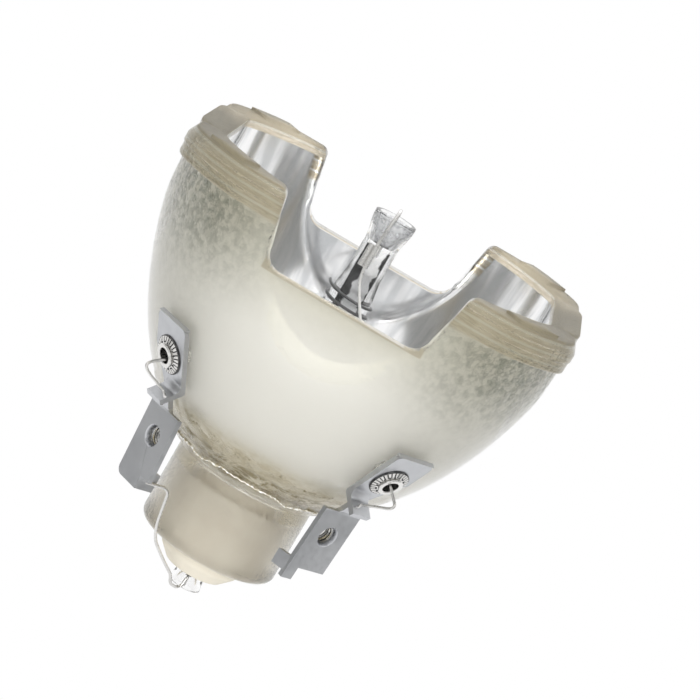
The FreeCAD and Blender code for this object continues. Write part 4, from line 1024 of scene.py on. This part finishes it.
for side, name in ((-1, "left"), (1, "right")):
    washer = nodes[name + "_lock_washer"].data
    axis = Vector((side * math.cos(WASHER_SLOPE) * math.sqrt(0.5), -math.cos(WASHER_SLOPE) * math.sqrt(0.5),
                   -math.sin(WASHER_SLOPE)))
    points = [vertex.co.copy() for vertex in washer.vertices]
    middle = sum(points, Vector()) / len(points)
    base = min(point.dot(axis) for point in points)
    seat = middle - axis * (middle.dot(axis) - base)
    crown = max((point - seat).dot(axis) for point in points
                if abs(((point - seat) - axis * (point - seat).dot(axis)).length - ROOT_REACH) < ROOT_NEAR)
    turn_to = axis.to_track_quat("Z", "Y").to_matrix().to_4x4()
    # Painted shadow: a dark ring in the gap under the washer's outer edge.
    gap_shadow_mesh = turned([(GAP_INSIDE, GAP_LIFT), (GAP_OUTSIDE, GAP_LIFT), (GAP_OUTSIDE, GAP_HEIGHT),
                       (GAP_INSIDE, GAP_HEIGHT)], GAP_AROUND)
    gap_shadow_mesh.transform(Matrix.Translation(seat) @ turn_to)
    new_piece(name + "_washer_gap_shadow", gap_shadow_mesh, [dark], sharp=30)
    # The dark wedges are painted shade.
    root_mesh = grown(roots, root_sockets["Wedges"], ROOT_WEDGES)
    root_mesh.transform(Matrix.Translation(seat + axis * (crown - ROOT_HEIGHT * ROOT_SUNK)) @ turn_to)
    new_piece(name + "_tooth_root_shade", root_mesh, [dark], sharp=30)


# Threads
# Each blade's hole is drawn out into a collar and tapped. The thread's ridge runs round it in three
# turns over a dark root, which is painted shade.
HOLE_PLACE = Vector((0.018866, -0.018866, -0.058894))
HOLE_AXIS = Vector((0.704927, -0.704927, -0.078459))
HOLE_RADIUS = 0.0020
THREAD_PITCH = 0.0007
THREAD_TURNS = 3.1
THREAD_RIDGE = 0.00026
THREAD_START = 0.0022
ROOT_OUTSIDE = HOLE_RADIUS + 0.00003
ROOT_INSIDE = HOLE_RADIUS - 0.00004
ROOT_LENGTH = THREAD_START - 0.0003
ROOT_AROUND = 64

ridge, given, ridge_sockets = pattern_with("thread ridge", {"Radius": HOLE_RADIUS, "Pitch": THREAD_PITCH,
                                                            "Turns": THREAD_TURNS, "Ridge": THREAD_RIDGE})
length = times(ridge, given["Pitch"], given["Turns"])
spiral = add(ridge, "GeometryNodeCurveSpiral", {"Resolution": 32, "Rotations": given["Turns"],
                                                "Start Radius": given["Radius"],
                                                "End Radius": given["Radius"], "Height": length})
profile = add(ridge, "GeometryNodeCurvePrimitiveCircle", {"Resolution": 4, "Radius": given["Ridge"]})
tube = add(ridge, "GeometryNodeCurveToMesh", {"Curve": spiral.outputs[0],
                                              "Profile Curve": profile.outputs[0], "Fill Caps": True})
finish_pattern(ridge, tube.outputs[0], bright)

for side, name in ((-1, "left_thread"), (1, "right_thread")):
    axis = Vector((side * HOLE_AXIS.x, HOLE_AXIS.y, HOLE_AXIS.z))
    seat = Vector((side * HOLE_PLACE.x, HOLE_PLACE.y, HOLE_PLACE.z)) - axis * THREAD_START
    in_place = Matrix.Translation(seat) @ axis.to_track_quat("Z", "Y").to_matrix().to_4x4()
    thread_mesh = grown(ridge, ridge_sockets["Turns"], THREAD_TURNS)
    thread_mesh.transform(in_place)
    new_piece(name, thread_mesh, [bright], sharp=30)
    # Painted shade: a dark lining of the hole, under the thread's ridge.
    root_mesh = turned([(ROOT_OUTSIDE, 0.0), (ROOT_OUTSIDE, ROOT_LENGTH), (ROOT_INSIDE, ROOT_LENGTH),
                        (ROOT_INSIDE, 0.0)], ROOT_AROUND)
    root_mesh.transform(in_place)
    new_piece(name + "_root", root_mesh, [dark], sharp=30)


# Burnt ends
# Where the leads leave the quartz their ends have splayed and burnt black, into small ragged stars.
# They are bare metal, cut short and scaled by heat and air.
BURNT = (
    ("front_burnt_end", (0.0004, 0.00300, -0.0023), 0.00048),
    ("rear_burnt_end", (-0.0002, -0.00060, -0.0849), 0.00085),
)
BURNT_CORNERS = 14
BURNT_CORE = 0.32
BURNT_SPREAD = 0.75
BURNT_RAGGED = 0.45
BURNT_THICKNESS = 0.00008
SOOT_BLACK = (0.010, 0.010, 0.010, 1)
SOOT_GREY = (0.07, 0.065, 0.06, 1)

soot, tree, shader = new_look("burnt_metal", (0.02, 0.02, 0.02, 1), 0.7)
place = object_place(tree)
two_toned(tree, shader, ramp(tree, noise_value(tree, place, 1800), 0.45, 0.6), SOOT_BLACK, SOOT_GREY)
for name, middle, reach in BURNT:
    star = bmesh.new()
    faces = []
    for y in (-BURNT_THICKNESS, BURNT_THICKNESS):
        ring = []
        for i in range(BURNT_CORNERS):
            turn = math.tau * i / BURNT_CORNERS
            ragged = BURNT_SPREAD + BURNT_RAGGED * noise.noise(Vector((i * 1.7, reach * 9000, 0.5)))
            radius = reach * ragged if i % 2 else reach * BURNT_CORE
            ring.append(star.verts.new((middle[0] + radius * math.cos(turn), middle[1] + y,
                                        middle[2] + radius * math.sin(turn))))
        faces.append(ring)
    for i in range(BURNT_CORNERS):
        following = (i + 1) % BURNT_CORNERS
        star.faces.new((faces[0][i], faces[0][following], faces[1][following], faces[1][i]))
    star.faces.new(faces[0])
    star.faces.new(faces[1][::-1])
    bmesh.ops.triangulate(star, faces=star.faces)
    bmesh.ops.recalc_face_normals(star, faces=star.faces)
    star_mesh = bpy.data.meshes.new(name)
    star.to_mesh(star_mesh)
    star.free()
    new_piece(name, star_mesh, [soot], sharp=30)
